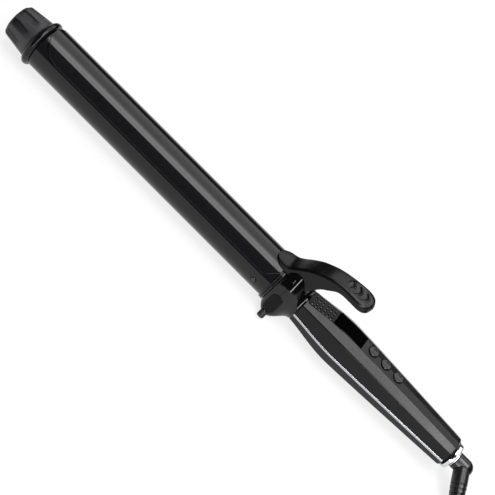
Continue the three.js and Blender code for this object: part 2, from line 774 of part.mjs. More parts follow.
// The torsion spring winds around the pin; one leg bears on the hub, one under the lever.
function clampSpring() {
  const radius = hingePinRadius + fit + springWire + 0.3;
  const stepsPerTurn = 10;
  const turns = springTurns + 0.25;
  const coil = range(turns * stepsPerTurn + 1).map((i) => {
    const angle = -Math.PI / 2 + 2 * Math.PI * i / stepsPerTurn;
    const y = (i / (turns * stepsPerTurn) - 0.5) * springTurns * springPitch;
    return [hingeX + radius * Math.cos(angle), y, hingeHeight + radius * Math.sin(angle)];
  });
  const first = coil[0];
  const last = coil[coil.length - 1];
  const hubLeg = [[first[0] - 2.4, first[1], first[2]]];
  const leverLeg = [[last[0], last[1], last[2] + 1.2]];
  return wire([...hubLeg, ...coil, ...leverLeg], springWire, 5, coil.length + 4);
}

function barrelCollar() {
  return sleeve(collarFront, collarRear, barrelRadius + fit, collarOuter, 40);
}

const [hubFrontHalf, hubRearHalf] = hubPieces();
add('barrel_collar', barrelCollar(), gloss);
add('hub_front', hubFrontHalf, gloss);
add('hub_rear', hubRearHalf, gloss);
add('hinge_pin', acrossHinge(earHalfWidth - pinCover - fit, hingePinRadius, 20), steel);
add('clamp_spring', clampSpring(), steel);
for (const [name, side] of sides) {
  add(`badge_${name}`, badgeTool(side, 0, -badgeThickness, 0), satin);
  add(`foot_${name}`, foot(side), soft);
}

// ---------------------------------------------------------------- handle

// Twelve facets: the angle of each corner from the top and its share of the handle's radius.
const facets = [[0, 0.892], [27, 0.948], [52, 1], [93, 0.93], [128, 1], [153, 0.948], [180, 0.892]];
const [ridgeShare, sideShare] = [facets[0][1], facets[3][1]];

function handleRadius(x) {
  const widestX = handleFront + handleWidestAt;
  const swell = handleWidestRadius - handleFrontRadius;
  if (x < widestX) {
    const u = Math.max(0, (x - handleFront) / handleWidestAt);
    return handleFrontRadius + swell * Math.sin(u * Math.PI / 2) ** 1.4;
  }
  const v = (x - widestX) / (handleRear - handleChamfer - widestX);
  const edge = Math.max(0, x - (handleRear - handleChamfer)) * handleChamferSlope;
  return handleWidestRadius - (handleWidestRadius - handleRearRadius) * Math.min(1, v) ** 1.15 - edge;
}

const ridgeZ = (x) => ridgeShare * handleRadius(x);
const screwTip = (x) => ridgeZ(x) - 2 * wall;

function facetSection(radius) {
  const right = facets.map(([angle, share]) => polar(share * radius, angle));
  const left = facets.slice(1, -1).reverse().map(([angle, share]) => polar(share * radius, angle, -1));
  return [...right, ...left].reverse();
}

const handleStations = [
  ...spread(handleFront, handleFront + handleWidestAt, 6),
  ...spread(handleFront + handleWidestAt, handleRear - handleChamfer, 7).slice(1),
];

function handleShell() {
  const outer = loft([...handleStations, handleRear], (x) => facetSection(handleRadius(x)));
  const inside = [handleFront - wall, ...handleStations.slice(1, -1), handleRear - endWall];
  const inner = loft(inside, (x) => facetSection(handleRadius(x) - wall));
  const spindleHole = bar([handleRear - past, 0, -swivelDrop], [handleRear + past, 0, -swivelDrop],
    spindleRadius + fit, 24);
  return cut(outer, inner, spindleHole);
}

// A thin prism under the two top facets, between two stations.
function topInlay(x0, x1, halfWidth, depth, lift = 0) {
  return loft(spread(x0, x1, 5), (x) => {
    const radius = handleRadius(x);
    const [edgeY, edgeZ] = polar(facets[1][1] * radius, facets[1][0]);
    const slope = (ridgeZ(x) - edgeZ) / edgeY;
    const at = (y, down) => [y, ridgeZ(x) - Math.abs(y) * slope - down + lift];
    return [at(halfWidth, depth), at(halfWidth, 0), at(0, 0), at(-halfWidth, 0), at(-halfWidth, depth),
      at(0, depth)];
  });
}

const gripFront = handleFront + gripPanelStart;
const gripRear = gripFront + gripPanelLength;

function gripPanel() {
  const plate = topInlay(gripFront, gripRear, gripPanelHalfWidth, gripPanelThickness);
  const columns = Math.floor((gripPanelLength - 4) / dotPitchAlong) + 1;
  const startX = (gripFront + gripRear) / 2 - (columns - 1) / 2 * dotPitchAlong;
  const dots = range(columns).flatMap((column) => [-2, -1, 0, 1, 2].map((row) => {
    const x = startX + column * dotPitchAlong;
    const y = row * dotPitchAcross;
    const radius = handleRadius(x);
    const [edgeY, edgeZ] = polar(facets[1][1] * radius, facets[1][0]);
    const z = ridgeZ(x) - Math.abs(y) * (ridgeZ(x) - edgeZ) / edgeY;
    return bar([x, y, z - 0.8], [x, y, z + dotHeight], dotRadius, 6, 0.6 * dotRadius);
  }));
  return join(plate, ...dots);
}

const displayFront = handleFront + displayStart;
const displayRear = displayFront + displayLength;
const displayTop = ridgeZ((displayFront + displayRear) / 2) - 0.25;
const buttonX = range(3).map((i) => handleFront + buttonStart + i * buttonPitch);
const switchTop = boardTop + fit + switchHeight;
const boardFront = displayFront - boardOverhang;
const boardRear = buttonX[2] + buttonRadius + boardOverhang;
const screwX = [handleRear - handleScrewInset, boardRear + handleScrewGap];
const powerBoardBottom = powerBoardTop - boardThickness;
const flangeRadius = buttonRadius + buttonFlange;
const flangeSeat = (x) => ridgeZ(x) - wall + fit;

// The button: a crowned cap over a flange that the shell retains, and a stem over its switch.
function button(x) {
  const top = ridgeZ(x) + buttonProud;
  const flangeTop = flangeSeat(x) - fit;
  const flangeBottom = flangeTop - buttonFlange;
  const profile = [
    [0, switchTop + buttonTravel + fit], [1.5, switchTop + buttonTravel + fit], [1.5, flangeBottom],
    [flangeRadius, flangeBottom], [flangeRadius, flangeTop], [buttonRadius, flangeTop],
    [buttonRadius, top - 0.5], [buttonRadius - 0.5, top - 0.1], [buttonRadius / 2, top], [0, top + 0.05],
  ];
  const body = new THREE.LatheGeometry(profile.map(([r, h]) => new THREE.Vector2(r, h)), 20);
  return body.rotateX(Math.PI / 2).translate(x, 0, 0);
}

function upperShell(shell) {
  const seam = -trimDrop + trimHeight / 2 + fit;
  const half = keep(shell, block([handleFront - past, -past, seam], [handleRear + past, past, past]));
  const posts = screwX.map((x) => bar([x, 0, seam], [x, 0, ridgeZ(x) - wall / 2], postRadius, 12));
  const window = block([displayFront - fit, -displayHalfWidth - fit, 0],
    [displayRear + fit, displayHalfWidth + fit, past]);
  const pocket = topInlay(gripFront - fit, gripRear + fit, gripPanelHalfWidth + fit,
    gripPanelThickness + fit, 0);
  const pocketOpen = topInlay(gripFront - fit, gripRear + fit, gripPanelHalfWidth + fit, 3, 2.9);
  const holes = buttonX.flatMap((x) => [
    bar([x, 0, 0], [x, 0, past], buttonRadius + fit, 20),
    bar([x, 0, 0], [x, 0, flangeSeat(x)], flangeRadius + fit, 20),
  ]);
  const bores = screwX.map((x) =>
    bar([x, 0, -past], [x, 0, screwTip(x) + 3 * fit], handleScrewRadius + fit, 12));
  return cut(join(half, ...posts), window, pocket, pocketOpen, ...holes, ...bores);
}

function lowerShell(shell) {
  const seam = -trimDrop - trimHeight / 2 - fit;
  const half = keep(shell, block([handleFront - past, -past, -past], [handleRear + past, past, seam]));
  const supports = [boardFront + supportInset, boardRear - supportInset].map((x) =>
    bar([x, 0, -ridgeZ(x) + wall / 2], [x, 0, powerBoardBottom - fit], supportRadius, 12));
  const heads = screwX.flatMap((x) => [
    bar([x, 0, -past], [x, 0, -ridgeZ(x) + wall / 2], handleScrewHead + fit, 16),
    bar([x, 0, -past], [x, 0, 0], handleScrewRadius + fit, 12),
  ]);
  return cut(join(half, ...supports), ...heads);
}

function handleScrew(x) {
  const seat = -ridgeZ(x) + wall / 2;
  const head = bar([x, 0, seat - fit - 0.9], [x, 0, seat - fit], handleScrewHead, 16);
  const shank = bar([x, 0, seat - fit - 0.5], [x, 0, screwTip(x)], handleScrewRadius, 12);
  const drive = block([x - 0.4, -1.6, seat - 3], [x + 0.4, 1.6, seat - fit - 0.45]);
  return cut(join(head, shank), drive);
}

// A bright strip along each side, in the joint between the two shells.
function trimStrip(side) {
  return loft(handleStations, (x) => {
    const outer = side * (sideShare * handleRadius(x) + trimProud);
    const inner = outer - side * trimDepth;
    const [low, high] = [-trimDrop - trimHeight / 2, -trimDrop + trimHeight / 2];
    const section = [[inner, low], [outer, low], [outer, high], [inner, high]];
    return side > 0 ? section : section.reverse();
  });
}

const shell = handleShell();
add('handle_upper', upperShell(shell), satin);
add('handle_lower', lowerShell(shell), satin);
for (const [name, side] of sides) add(`trim_${name}`, trimStrip(side), chrome);
add('grip_panel', gripPanel(), soft);
screwX.forEach((x, i) => add(`handle_screw_${i + 1}`, handleScrew(x), steel));

// ---------------------------------------------------------------- controls and wiring

const lensBottom = displayTop - displayThickness;
add('display_lens', block([displayFront, -displayHalfWidth, lensBottom],
  [displayRear, displayHalfWidth, displayTop]), lensBlack);
add('display_module', block(
  [displayFront + moduleInset, -displayHalfWidth + moduleInset, boardTop + fit],
  [displayRear - moduleInset, displayHalfWidth - moduleInset, lensBottom - fit]), gloss);
add('control_board', block([boardFront, -boardHalfWidth, boardTop - boardThickness],
  [boardRear, boardHalfWidth, boardTop]), board);
['power', 'minus', 'plus'].forEach((name, i) => {
  const x = buttonX[i];
  add(`button_${name}`, button(x), gloss);
  add(`switch_${name}`, block([x - 3, -3, boardTop + fit], [x + 3, 3, switchTop]), steel);
});

const moduleX = [boardFront + moduleStandoff, boardRear - moduleStandoff];
add('power_board', block([boardFront, -boardHalfWidth, powerBoardBottom],
  [boardRear, boardHalfWidth, powerBoardTop]), board);
add('power_module', block([moduleX[0], -boardHalfWidth + 1, powerBoardTop + fit],
  [moduleX[1], boardHalfWidth - 1, powerBoardTop + fit + powerModuleHeight]), gloss);

// Two leads run from the heater plate, through the carrier, down to the power board.
for (const [name, side] of sides) {
  const y = leadSpacing / 2 * side;
  const rear = handleFront + carrierTail;
  add(`heater_lead_${name}`, wire([
    [heaterRear + heaterPlateOverhang + fit, y, 0], [carrierFront + carrierDepth, y, 0],
    [rear - leadDrop, y, 0], [boardFront + leadRadius, y, powerBoardTop + 2 * leadRadius + 2 * fit],
    [boardFront + leadEnd, y, powerBoardTop + leadRadius + fit],
  ], leadRadius, 6, 12), wireRed);
}

// ---------------------------------------------------------------- swivel

const outletDown = new THREE.Vector3(0, -Math.sin(deg(outletTurn)), -Math.cos(deg(outletTurn)));
const outletDirection = new THREE.Vector3(Math.cos(deg(outletBend)), 0, 0)
  .addScaledVector(outletDown, Math.sin(deg(outletBend)));
const bootRoot = new THREE.Vector3(elbowCentre, 0, -swivelDrop).addScaledVector(outletDown, bootOffset);
const bootEnd = bootRoot.clone().addScaledVector(outletDirection, bootLength);

const endCollarProfile = [
  [endCollarFront, spindleRadius + fit], [endCollarFront, endCollarRadius],
  [endCollarFront + endCollarLength - 1.2, endCollarRadius],
  [endCollarFront + endCollarLength, endCollarRadius - 1.6],
  [endCollarFront + endCollarLength, spindleRadius + fit], [endCollarFront, spindleRadius + fit],
];

// A spindle through the collar and the end wall, and a round-ended hood that the boot sits in.
function swivelElbow() {
  const tail = handleRear - endWall - spindleTail;
  const end = spread(0, Math.PI / 2, 7).map((angle) =>
    [elbowCentre + elbowRadius * Math.sin(angle), elbowRadius * Math.cos(angle)]);
  end[end.length - 1][1] = 0;
  const body = turned([[tail, 0], [tail, spindleRadius], [elbowFront, spindleRadius],
    [elbowFront, elbowRadius], ...end], 24).translate(0, 0, -swivelDrop);
  const seat = new THREE.SphereGeometry(bootRadius + fit, 18, 12).translate(...bootRoot);
  const way = bar([...bootRoot], [...bootRoot.clone().addScaledVector(outletDirection, 20)],
    bootRadius + fit, 18);
  const bore = bar([tail - 1, 0, -swivelDrop], [elbowCentre, 0, -swivelDrop], 2, 12);
  return cut(body, seat, way, bore);
}

// A ball end, a plain sleeve, and ribs that taper towards the cord.
function cordBoot() {
  const radiusAt = (h) => bootRadius
    + (bootEndRadius - bootRadius) * Math.max(0, h - bootSleeve) / (bootLength - bootSleeve);
  const ball = spread(-Math.PI / 2, 0, 6).map((angle) =>
    [bootRadius * Math.cos(angle), bootRadius * Math.sin(angle)]);
  ball[0][0] = 0;
  const ribCount = Math.floor((bootLength - bootSleeve - 1) / bootRibPitch);
  const ribs = range(ribCount).flatMap((i) => {
    const h = bootSleeve + i * bootRibPitch;
    return [[radiusAt(h), h], [radiusAt(h) - bootRibDepth, h + 0.3],
      [radiusAt(h) - bootRibDepth, h + 1.1], [radiusAt(h), h + 1.4]];
  });
  const profile = [...ball, ...ribs, [bootEndRadius, bootLength], [0, bootLength]];
  const boot = new THREE.LatheGeometry(profile.map(([r, h]) => new THREE.Vector2(r, h)), 16);
  boot.applyQuaternion(new THREE.Quaternion().setFromUnitVectors(
    new THREE.Vector3(0, 1, 0), outletDirection));
  return boot.translate(...bootRoot);
}

// A ring about the swivel's axis.
function swivelRing(front, length, outer, facets) {
  return sleeve(front, front + length, spindleRadius + fit, outer, facets).translate(0, 0, -swivelDrop);
}

add('end_collar', turned(endCollarProfile, 40).translate(0, 0, -swivelDrop), chrome);
add('swivel_washer', swivelRing(washerFront, washerLength, washerRadius, 32), chrome);
add('swivel_elbow', swivelElbow(), gloss);
const clipFront = handleRear - endWall - fit - clipThickness;
add('swivel_clip', swivelRing(clipFront, clipThickness, clipRadius, 24), steel);
add('cord_boot', cordBoot(), soft);

tool.position.set(-toolLength / 2, 0, restHeight);

// ---------------------------------------------------------------- cord, hank and plug

// These lie on the surface, z = 0, beyond the tool's end.
const lead = new THREE.Group();
const hankX = 274; // where the straight runs start
const hankY = -33.2;
const hankBottom = tieThickness + fit;
const hankOuterBend = hankInnerBend + 2 * cordRadius;
const hankTop = hankBottom + hankLayers * 2 * cordRadius;

function addLead(name, geometry, material) {
  const mesh = new THREE.Mesh(weld(geometry), material);
  mesh.name = name;
  lead.add(mesh);
}

const outlet = bootEnd.clone().add(tool.position).addScaledVector(outletDirection, fit);
const leadRoute = [
  [...outlet], [...outlet.clone().addScaledVector(outletDirection, 3)],
  [238.6, -47.7, 3.3], [245.8, -53.3, 3.15], [252.3, -56.1, 3.2],
];
const tailRoute = [
  [285, -45.45, 4.6], [291, -45.1, 5.0], [298, -41.2, 6.0], [304, -37.1, 6.9], [310, -33.9, 7.4], [314.5, -33.2, 7.5],
  [319, -33.2, 7.5],
];

// The outer shape of the wound turns: two straight runs joined by round ends, open in the middle.
function hankSolid() {
  const racetrack = (path, radius) => {
    path.absarc(hankX + hankRun, hankY, radius, -Math.PI / 2, Math.PI / 2);
    path.absarc(hankX, hankY, radius, Math.PI / 2, 3 * Math.PI / 2);
    return path;
  };
  const outline = racetrack(new THREE.Shape(), hankOuterBend + cordRadius);
  outline.holes.push(racetrack(new THREE.Path(), hankInnerBend - cordRadius));
  return upZ(outline, hankBottom, hankTop, 10);
}

// A strap round both runs.
function hankTie() {
  const half = hankOuterBend + cordRadius + fit;
  const x0 = hankX + tieSetback;
  const strap = block([x0, hankY - half - tieThickness, 0],
    [x0 + tieWidth, hankY + half + tieThickness, hankTop + fit + tieThickness]);
  const inside = block([x0 - 1, hankY - half, tieThickness], [x0 + tieWidth + 1, hankY + half, hankTop + fit]);
  return cut(strap, inside);
}

const plugX = tailRoute[tailRoute.length - 1][0] + fit;
const plugFace = plugX + plugReliefLength + plugLength;

// A tapered relief and a body with cut corners that lies flat.
function plugBody() {
  const z = plugHeight / 2;
  const relief = bar([plugX, hankY, z], [plugX + plugReliefLength + 2, hankY, z], cordRadius + 0.5, 16, 5.4);
  const shape = new THREE.Shape();
  const [x0, x1, half, corner] = [plugX + plugReliefLength, plugFace, plugWidth / 2, 4];
  shape.moveTo(x0, -half + corner * 1.4);
  shape.lineTo(x0 + corner * 1.6, -half);
  shape.lineTo(x1, -half);
  shape.lineTo(x1, half);
  shape.lineTo(x0 + corner * 1.6, half);
  shape.lineTo(x0, half - corner * 1.4);
  return join(upZ(shape, 0, plugHeight).translate(0, hankY, 0), relief);
}

function plugBlade(side) {
  const y = hankY + side * bladeSpacing / 2;
  const z = plugHeight / 2;
  return block([plugFace + fit, y - bladeThickness / 2, z - bladeWidth / 2],
    [plugFace + fit + bladeLength, y + bladeThickness / 2, z + bladeWidth / 2]);
}

addLead('cord_run', wire(leadRoute, cordRadius, 8, 6), soft);
addLead('cord_hank', hankSolid(), soft);
addLead('cord_tail', wire(tailRoute, cordRadius, 8, 6), soft);
addLead('cord_tie', hankTie(), soft);
addLead('plug_body', plugBody(), soft);
for (const [name, side] of sides) addLead(`plug_blade_${name}`, plugBlade(side), brass);

const curlingIron = new THREE.Group();
curlingIron.add(tool, lead);

export default curlingIron;
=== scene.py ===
"""The looks of the curling iron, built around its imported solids.

Sizes below are in millimetres in the tool's own frame: X runs along the barrel's axis from the cool
tip, Z points to the lever's side and -Y to the tool's left. row() turns them into the row frame.
"""
import json
from math import atan2, cos, degrees, exp, hypot, pi, radians, sin, sqrt, tan, tau

import bmesh
import bpy
import numpy as np
from numpy import linspace
from mathutils import Matrix, Vector


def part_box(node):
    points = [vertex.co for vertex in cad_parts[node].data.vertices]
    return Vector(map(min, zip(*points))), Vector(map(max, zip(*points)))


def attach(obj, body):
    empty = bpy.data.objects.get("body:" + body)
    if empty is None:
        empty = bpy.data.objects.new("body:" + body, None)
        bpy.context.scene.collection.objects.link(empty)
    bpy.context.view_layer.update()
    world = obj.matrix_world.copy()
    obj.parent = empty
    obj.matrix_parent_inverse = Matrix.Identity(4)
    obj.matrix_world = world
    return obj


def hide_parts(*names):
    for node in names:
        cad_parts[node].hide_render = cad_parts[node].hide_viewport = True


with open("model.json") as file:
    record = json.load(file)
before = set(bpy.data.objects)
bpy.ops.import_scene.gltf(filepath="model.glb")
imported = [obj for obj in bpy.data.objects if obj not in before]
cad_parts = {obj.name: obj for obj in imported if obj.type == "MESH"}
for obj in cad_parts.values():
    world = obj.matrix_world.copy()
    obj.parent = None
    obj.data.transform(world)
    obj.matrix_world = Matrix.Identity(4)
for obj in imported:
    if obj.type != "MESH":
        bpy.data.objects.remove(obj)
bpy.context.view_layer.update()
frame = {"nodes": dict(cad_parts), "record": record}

scene = bpy.context.scene

# ---- places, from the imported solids


def box_mm(node):
    """A node's lowest and highest corners in the row frame, in millimetres."""
    return [corner * 1000 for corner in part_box(node)]


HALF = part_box("swivel_elbow")[1].x * 1000
REST = sum(corner.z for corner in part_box("tip_ring")) * 500


def span(node):
    """Where a node starts and ends along the tool."""
    low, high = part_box(node)
    return low.x * 1000 + HALF, high.x * 1000 + HALF


def row(points):
    return (np.asarray(points, float).reshape(-1, 3) + (-HALF, 0, REST)) / 1000


GAP, FAR = 0.3, 60
RING_X = span("tip_ring")
BARREL_X = span("barrel_tube")
CLAMP_X = span("clamp_plate")
COLLAR_X = span("barrel_collar")
front, rear = span("hub_front"), span("hub_rear")
HUB_X, HINGE_X = (front[0], rear[1]), (front[1] + rear[0]) / 2
HINGE_Z = 18
SIDES = ((-1, "left"), (1, "right"))

# ---- camera

TILT, ROLL = radians(40), radians(45.02)
CAMERA_AWAY, CAMERA_LENS = 0.816, 87.3
along = Vector((1, 0, 0))
across = Vector((0, sin(TILT), cos(TILT)))
right = along * cos(ROLL) + across * sin(ROLL)
up = -along * sin(ROLL) + across * cos(ROLL)
back = right.cross(up)
target = Vector((0.00205, 0, REST / 1000)) + across * 0.0009


def placed(x_axis, y_axis, z_axis, place):
    """The matrix of a thing with these axes at a place."""
    columns = [(*axis, 0) for axis in (x_axis, y_axis, z_axis)] + [(*place, 1)]
    return Matrix(columns).transposed()


def linked(name, data):
    made = bpy.data.objects.new(name, data)
    scene.collection.objects.link(made)
    return made


camera = linked("camera", bpy.data.cameras.new("camera"))
camera.data.lens = CAMERA_LENS
camera.data.sensor_width = 36
camera.matrix_world = placed(right, up, back, target + back * CAMERA_AWAY)
scene.camera = camera
scene.view_settings.view_transform = "Standard"

# ---- materials


class Nodes:
    """A short way to add shader nodes and link them."""

    def __init__(self, tree):
        self.tree = tree
        tree.nodes.clear()

    def add(self, kind, **settings):
        node = self.tree.nodes.new("ShaderNode" + kind)
        for key, value in settings.items():
            if hasattr(node, key) and not isinstance(value, tuple):
                setattr(node, key, value)
            else:
                self.put(node, key, value)
        return node

    def put(self, node, socket, value):
        """Links an output to a socket, or sets a constant on it."""
        if hasattr(value, "is_output"):
            self.tree.links.new(value, node.inputs[socket])
        else:
            node.inputs[socket].default_value = value

    def rescale(self, value, low, high, to_low=0.0, to_high=1.0):
        return self.add("MapRange", Value=value, **{
            "From Min": low, "From Max": high, "To Min": to_low, "To Max": to_high}).outputs["Result"]

    def blend(self, base, factor, grey, tint):
        """Mixes a grey, a little blue, over the base."""
        mix = self.add("Mix", data_type="RGBA", Factor=factor)
        self.put(mix, 6, base)
        self.put(mix, 7, (grey, grey, grey * tint, 1))
        return mix.outputs[2]

    def math(self, operation, one, two):
        node = self.add("Math", operation=operation)
        self.put(node, 0, one)
        self.put(node, 1, two)
        return node.outputs[0]

    def end(self, node, kind="OutputMaterial"):
        self.put(self.add(kind), "Surface", node.outputs[0])


DRIFT_SCALE, SPECK_SCALE, GRAIN_DEPTH = 60, 5000, 0.00006


def material(name, color, rough, grain, spec, vary=0.15, rough_vary=0.25, grain_scale=2500,
             metal=0.0, speck=0.0, streak=None, ior=1.5, painted_light_grey=0.0):
    """A surface with a slow drift of tone and gloss, and a moulded or brushed grain.

    speck is the grey of fine dots in a coat; the last grey is painted light where mark_points marks: shade
    if dark, a highlight if light.
    """
    made = bpy.data.materials.new(name)
    made.use_nodes = True
    n = Nodes(made.node_tree)
    where = n.add("TexCoord").outputs["Object"]
    if streak:
        where = n.add("Mapping", Vector=where, Scale=streak).outputs["Vector"]
    drift = n.add("TexNoise", Vector=where, Scale=DRIFT_SCALE, Detail=4.0, Roughness=0.55).outputs["Fac"]
    ramp = n.add("ValToRGB", Fac=drift)
    for element, place, side in zip(ramp.color_ramp.elements, (0.3, 0.7), (-1, 1)):
        element.position = place
        element.color = (*(c * (1 + side * vary) for c in color), 1)
    base = ramp.outputs["Color"]
    if speck:
        dots = n.add("TexNoise", Vector=where, Scale=SPECK_SCALE, Detail=1.0, Roughness=0.5)
        base = n.blend(base, n.rescale(dots.outputs["Fac"], 0.52, 0.72), speck, 1.12)
    # painted light: the places that mark_points marks blend towards the painted grey
    if painted_light_grey:
        base = n.blend(base, n.add("Attribute", attribute_name="mark").outputs["Fac"], painted_light_grey, 1.05)
    gloss = n.rescale(drift, 0.3, 0.7, rough * (1 - rough_vary), rough * (1 + rough_vary))
    shader = n.add("BsdfPrincipled", Metallic=metal, IOR=ior, Roughness=gloss, **{
        "Base Color": base, "Specular IOR Level": spec})
    if grain:
        fine = n.add("TexNoise", Vector=where, Scale=grain_scale, Detail=2.0, Roughness=0.6)
        bump = n.add("Bump", Height=fine.outputs["Fac"], Strength=grain, Distance=GRAIN_DEPTH)
        n.put(shader, "Normal", bump.outputs["Normal"])
    n.end(shader)
    return made


# colour, roughness, depth of the grain, specular level, and what else a finish has
FINISHES = {
    # the cap's grey darkens in its flutes as painted shade
    "cap_satin": ((0.034, 0.034, 0.037), 0.42, 0.2, 0.34, dict(painted_light_grey=0.005)),
    "ring_gloss": ((0.003, 0.003, 0.0033), 0.2, 0.04, 0.26),
    "insulator": ((0.05, 0.048, 0.045), 0.6, 0.3, 0.3),
    "barrel_coat": ((0.0035, 0.0035, 0.004), 0.06, 0, 0.33, dict(speck=0.02)),
    "clamp_coat": ((0.0035, 0.0035, 0.004), 0.06, 0, 0.33, dict(speck=0.02)),
    "spreader": ((0.6, 0.61, 0.62), 0.45, 0.3, 0.28, dict(metal=1)),
    "brass": ((0.72, 0.52, 0.25), 0.3, 0.1, 0.28, dict(metal=1)),
    "plain_steel": ((0.5, 0.51, 0.53), 0.28, 0.12, 0.28, dict(metal=1, streak=(1.0, 12.0, 1.0))),
    "dark_steel": ((0.07, 0.07, 0.075), 0.25, 0.1, 0.28, dict(metal=1)),
    "lever_satin": ((0.002, 0.002, 0.0023), 0.26, 0.15, 0.24),
    "pad_rubber": ((0.005, 0.005, 0.0056), 0.26, 0.25, 0.36),
    "collar_gloss": ((0.004, 0.004, 0.0045), 0.16, 0.05, 0.3),
    "hub_gloss": ((0.002, 0.002, 0.0023), 0.12, 0.03, 0.42),
    "badge_plate": ((0.003, 0.003, 0.0034), 0.2, 0.06, 0.14),
    "foot_rubber": ((0.012, 0.012, 0.0125), 0.5, 0.4, 0.34),
    "handle_satin": ((0.002, 0.002, 0.0023), 0.22, 0.1, 0.27),
    "trim_chrome": ((0.5, 0.51, 0.53), 0.28, 0, 0.28, dict(metal=1, rough_vary=0.1, vary=0.04)),
    # the grip's dots are painted a lighter grey, a painted highlight
    "grip_soft": ((0.0015, 0.0015, 0.0017), 0.26, 0.25, 0.16, dict(painted_light_grey=0.16)),
    "lens_black": ((0.0006, 0.0006, 0.0008), 0.03, 0, 0.03, dict(ior=1.12)),
    "module_dark": ((0.03, 0.03, 0.034), 0.5, 0.3, 0.28),
    "board_green": ((0.015, 0.09, 0.035), 0.35, 0.15, 0.28),
    "button_gloss": ((0.006, 0.006, 0.0067), 0.12, 0.04, 0.4),
    "lead_red": ((0.38, 0.025, 0.018), 0.5, 0.2, 0.28),
    "collar_chrome": ((0.6, 0.61, 0.63), 0.06, 0, 0.28, dict(metal=1, rough_vary=0.4)),
    "elbow_gloss": ((0.006, 0.006, 0.0067), 0.18, 0.05, 0.34),
    "boot_rubber": ((0.009, 0.009, 0.0098), 0.28, 0.35, 0.42),
    "cord_black": ((0.013, 0.013, 0.014), 0.48, 0.35, 0.28),
    "tie_black": ((0.016, 0.016, 0.017), 0.6, 0.6, 0.28, dict(grain_scale=1500)),
    "plug_black": ((0.015, 0.015, 0.016), 0.4, 0.3, 0.28),
}
LOOKS = {name: material(name, *look[:4], **dict(*look[4:])) for name, look in FINISHES.items()}
slot_of = {p["node"]: p["material_slot"] for p in frame["record"]["subparts"]}
for name, solid in frame["nodes"].items():
    for holder in solid.material_slots:
        holder.material = LOOKS[slot_of[name]]

# ---- building pieces


def make(name, points, faces, in_row=False):
    mesh = bpy.data.meshes.new(name)
    place = np.asarray(points, float) / 1000 if in_row else row(points)
    mesh.from_pydata(place.tolist(), [], faces)
    work = bmesh.new()
    work.from_mesh(mesh)
    bmesh.ops.remove_doubles(work, verts=work.verts, dist=1e-7)
    bmesh.ops.dissolve_degenerate(work, edges=work.edges, dist=1e-7)
    bmesh.ops.recalc_face_normals(work, faces=work.faces)
    work.to_mesh(mesh)
    work.free()
    return linked(name, mesh)


def loft(rings, closed=False):
    """Points and faces of a skin over rings of points; a ring of one point is a tip."""
    points = [tuple(p) for ring in rings for p in ring]
    starts = np.cumsum([0] + [len(ring) for ring in rings]).tolist()
    numbers = [range(start, end) for start, end in zip(starts, starts[1:])]
    faces = []
    for one, two in zip(numbers, numbers[1:] + numbers[:1] * closed):
        count = max(len(one), len(two))
        for i in range(count):
            j = (i + 1) % count
            quad = [one[i % len(one)], one[j % len(one)], two[j % len(two)], two[i % len(two)]]
            corners = list(dict.fromkeys(quad))
            if len(corners) > 2:
                faces.append(corners)
    if not closed:
        faces += [list(ring) for ring in (numbers[0], numbers[-1]) if len(ring) > 1]
    return points, faces


def modify(piece, kind, **settings):
    modifier = piece.modifiers.new(kind.lower(), kind)
    for key, value in settings.items():
        setattr(modifier, key, value)


def combine(piece, tools, operation="DIFFERENCE"):
    """Cuts, joins or keeps, and drops the tools."""
    for tool in tools:
        modify(piece, "BOOLEAN", operation=operation, solver="EXACT", object=tool)
    depsgraph = bpy.context.evaluated_depsgraph_get()
    mesh = bpy.data.meshes.new_from_object(piece.evaluated_get(depsgraph), depsgraph=depsgraph)
    piece.modifiers.clear()
    piece.data = mesh
    for tool in tools:
        bpy.data.objects.remove(tool)
    return piece


def kept_part(whole, name, start, end, low=-FAR, high=FAR):
    """A copy of what lies between two places along the tool and two heights."""
    keep = block("keep", (start, -FAR, low), (end, FAR, high))
    return combine(linked(name, whole.data.copy()), [keep], "INTERSECT")


def soften(piece, width, segments=3):
    """Rounds the edges that are sharper than 40 degrees."""
    modify(piece, "BEVEL", width=width / 1000, segments=segments, limit_method="ANGLE",
           angle_limit=radians(40), use_clamp_overlap=False, miter_outer="MITER_ARC")
    return piece


def finish(piece, body, slot, *nodes, angle=40, weighted=True):
    """Shades a piece, smooth up to an angle, and gives it its look, its body and its slot."""
    if angle:
        piece.data.shade_smooth()
        piece.data.set_sharp_from_angle(angle=radians(angle))
        if weighted:
            modify(piece, "WEIGHTED_NORMAL", keep_sharp=True, weight=60)
    piece.data.materials.clear()
    piece.data.materials.append(LOOKS[slot])
    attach(piece, body)
    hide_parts(*nodes)
    return piece


def mark_points(piece, value_at):
    """Keeps a value at each point of a piece, which its colour follows, to paint shade or a highlight
    there.
    """
    kept = piece.data.attributes.new("mark", "FLOAT", "POINT")
    for vert, value in zip(piece.data.vertices, kept.data):
        value.value = value_at(vert.co.x * 1000 + HALF, vert.co.y * 1000, vert.co.z * 1000 - REST)


def arc(x, r, radius, start, end, steps=8):
    """Points of a round edge of a profile; the angles are in degrees, 0 towards +X, 90 outwards."""
    turn = np.radians(linspace(start, end, steps))
    return [(x + radius * cos(a), r + radius * sin(a)) for a in turn]


def lathe(profile, sides, point_at):
    """Rings of points for a profile of [distance, radius]; a radius of 0 gives a tip."""
    rings = []
    for distance, radius in profile:
        if radius < 1e-6:
            rings.append([point_at(distance, 0, 0)])
        else:
            rings.append([point_at(distance, radius, tau * i / sides) for i in range(sides)])
    return rings


def turned(name, profile, sides=128, closed=False, radius_at=None):
    """Turns [x, radius] about the tool's axis."""
    def point(x, radius, a):
        r = radius_at(x, radius, a) if radius_at and radius else radius
        return x, r * sin(a), r * cos(a)

    return make(name, *loft(lathe(profile, sides, point), closed))


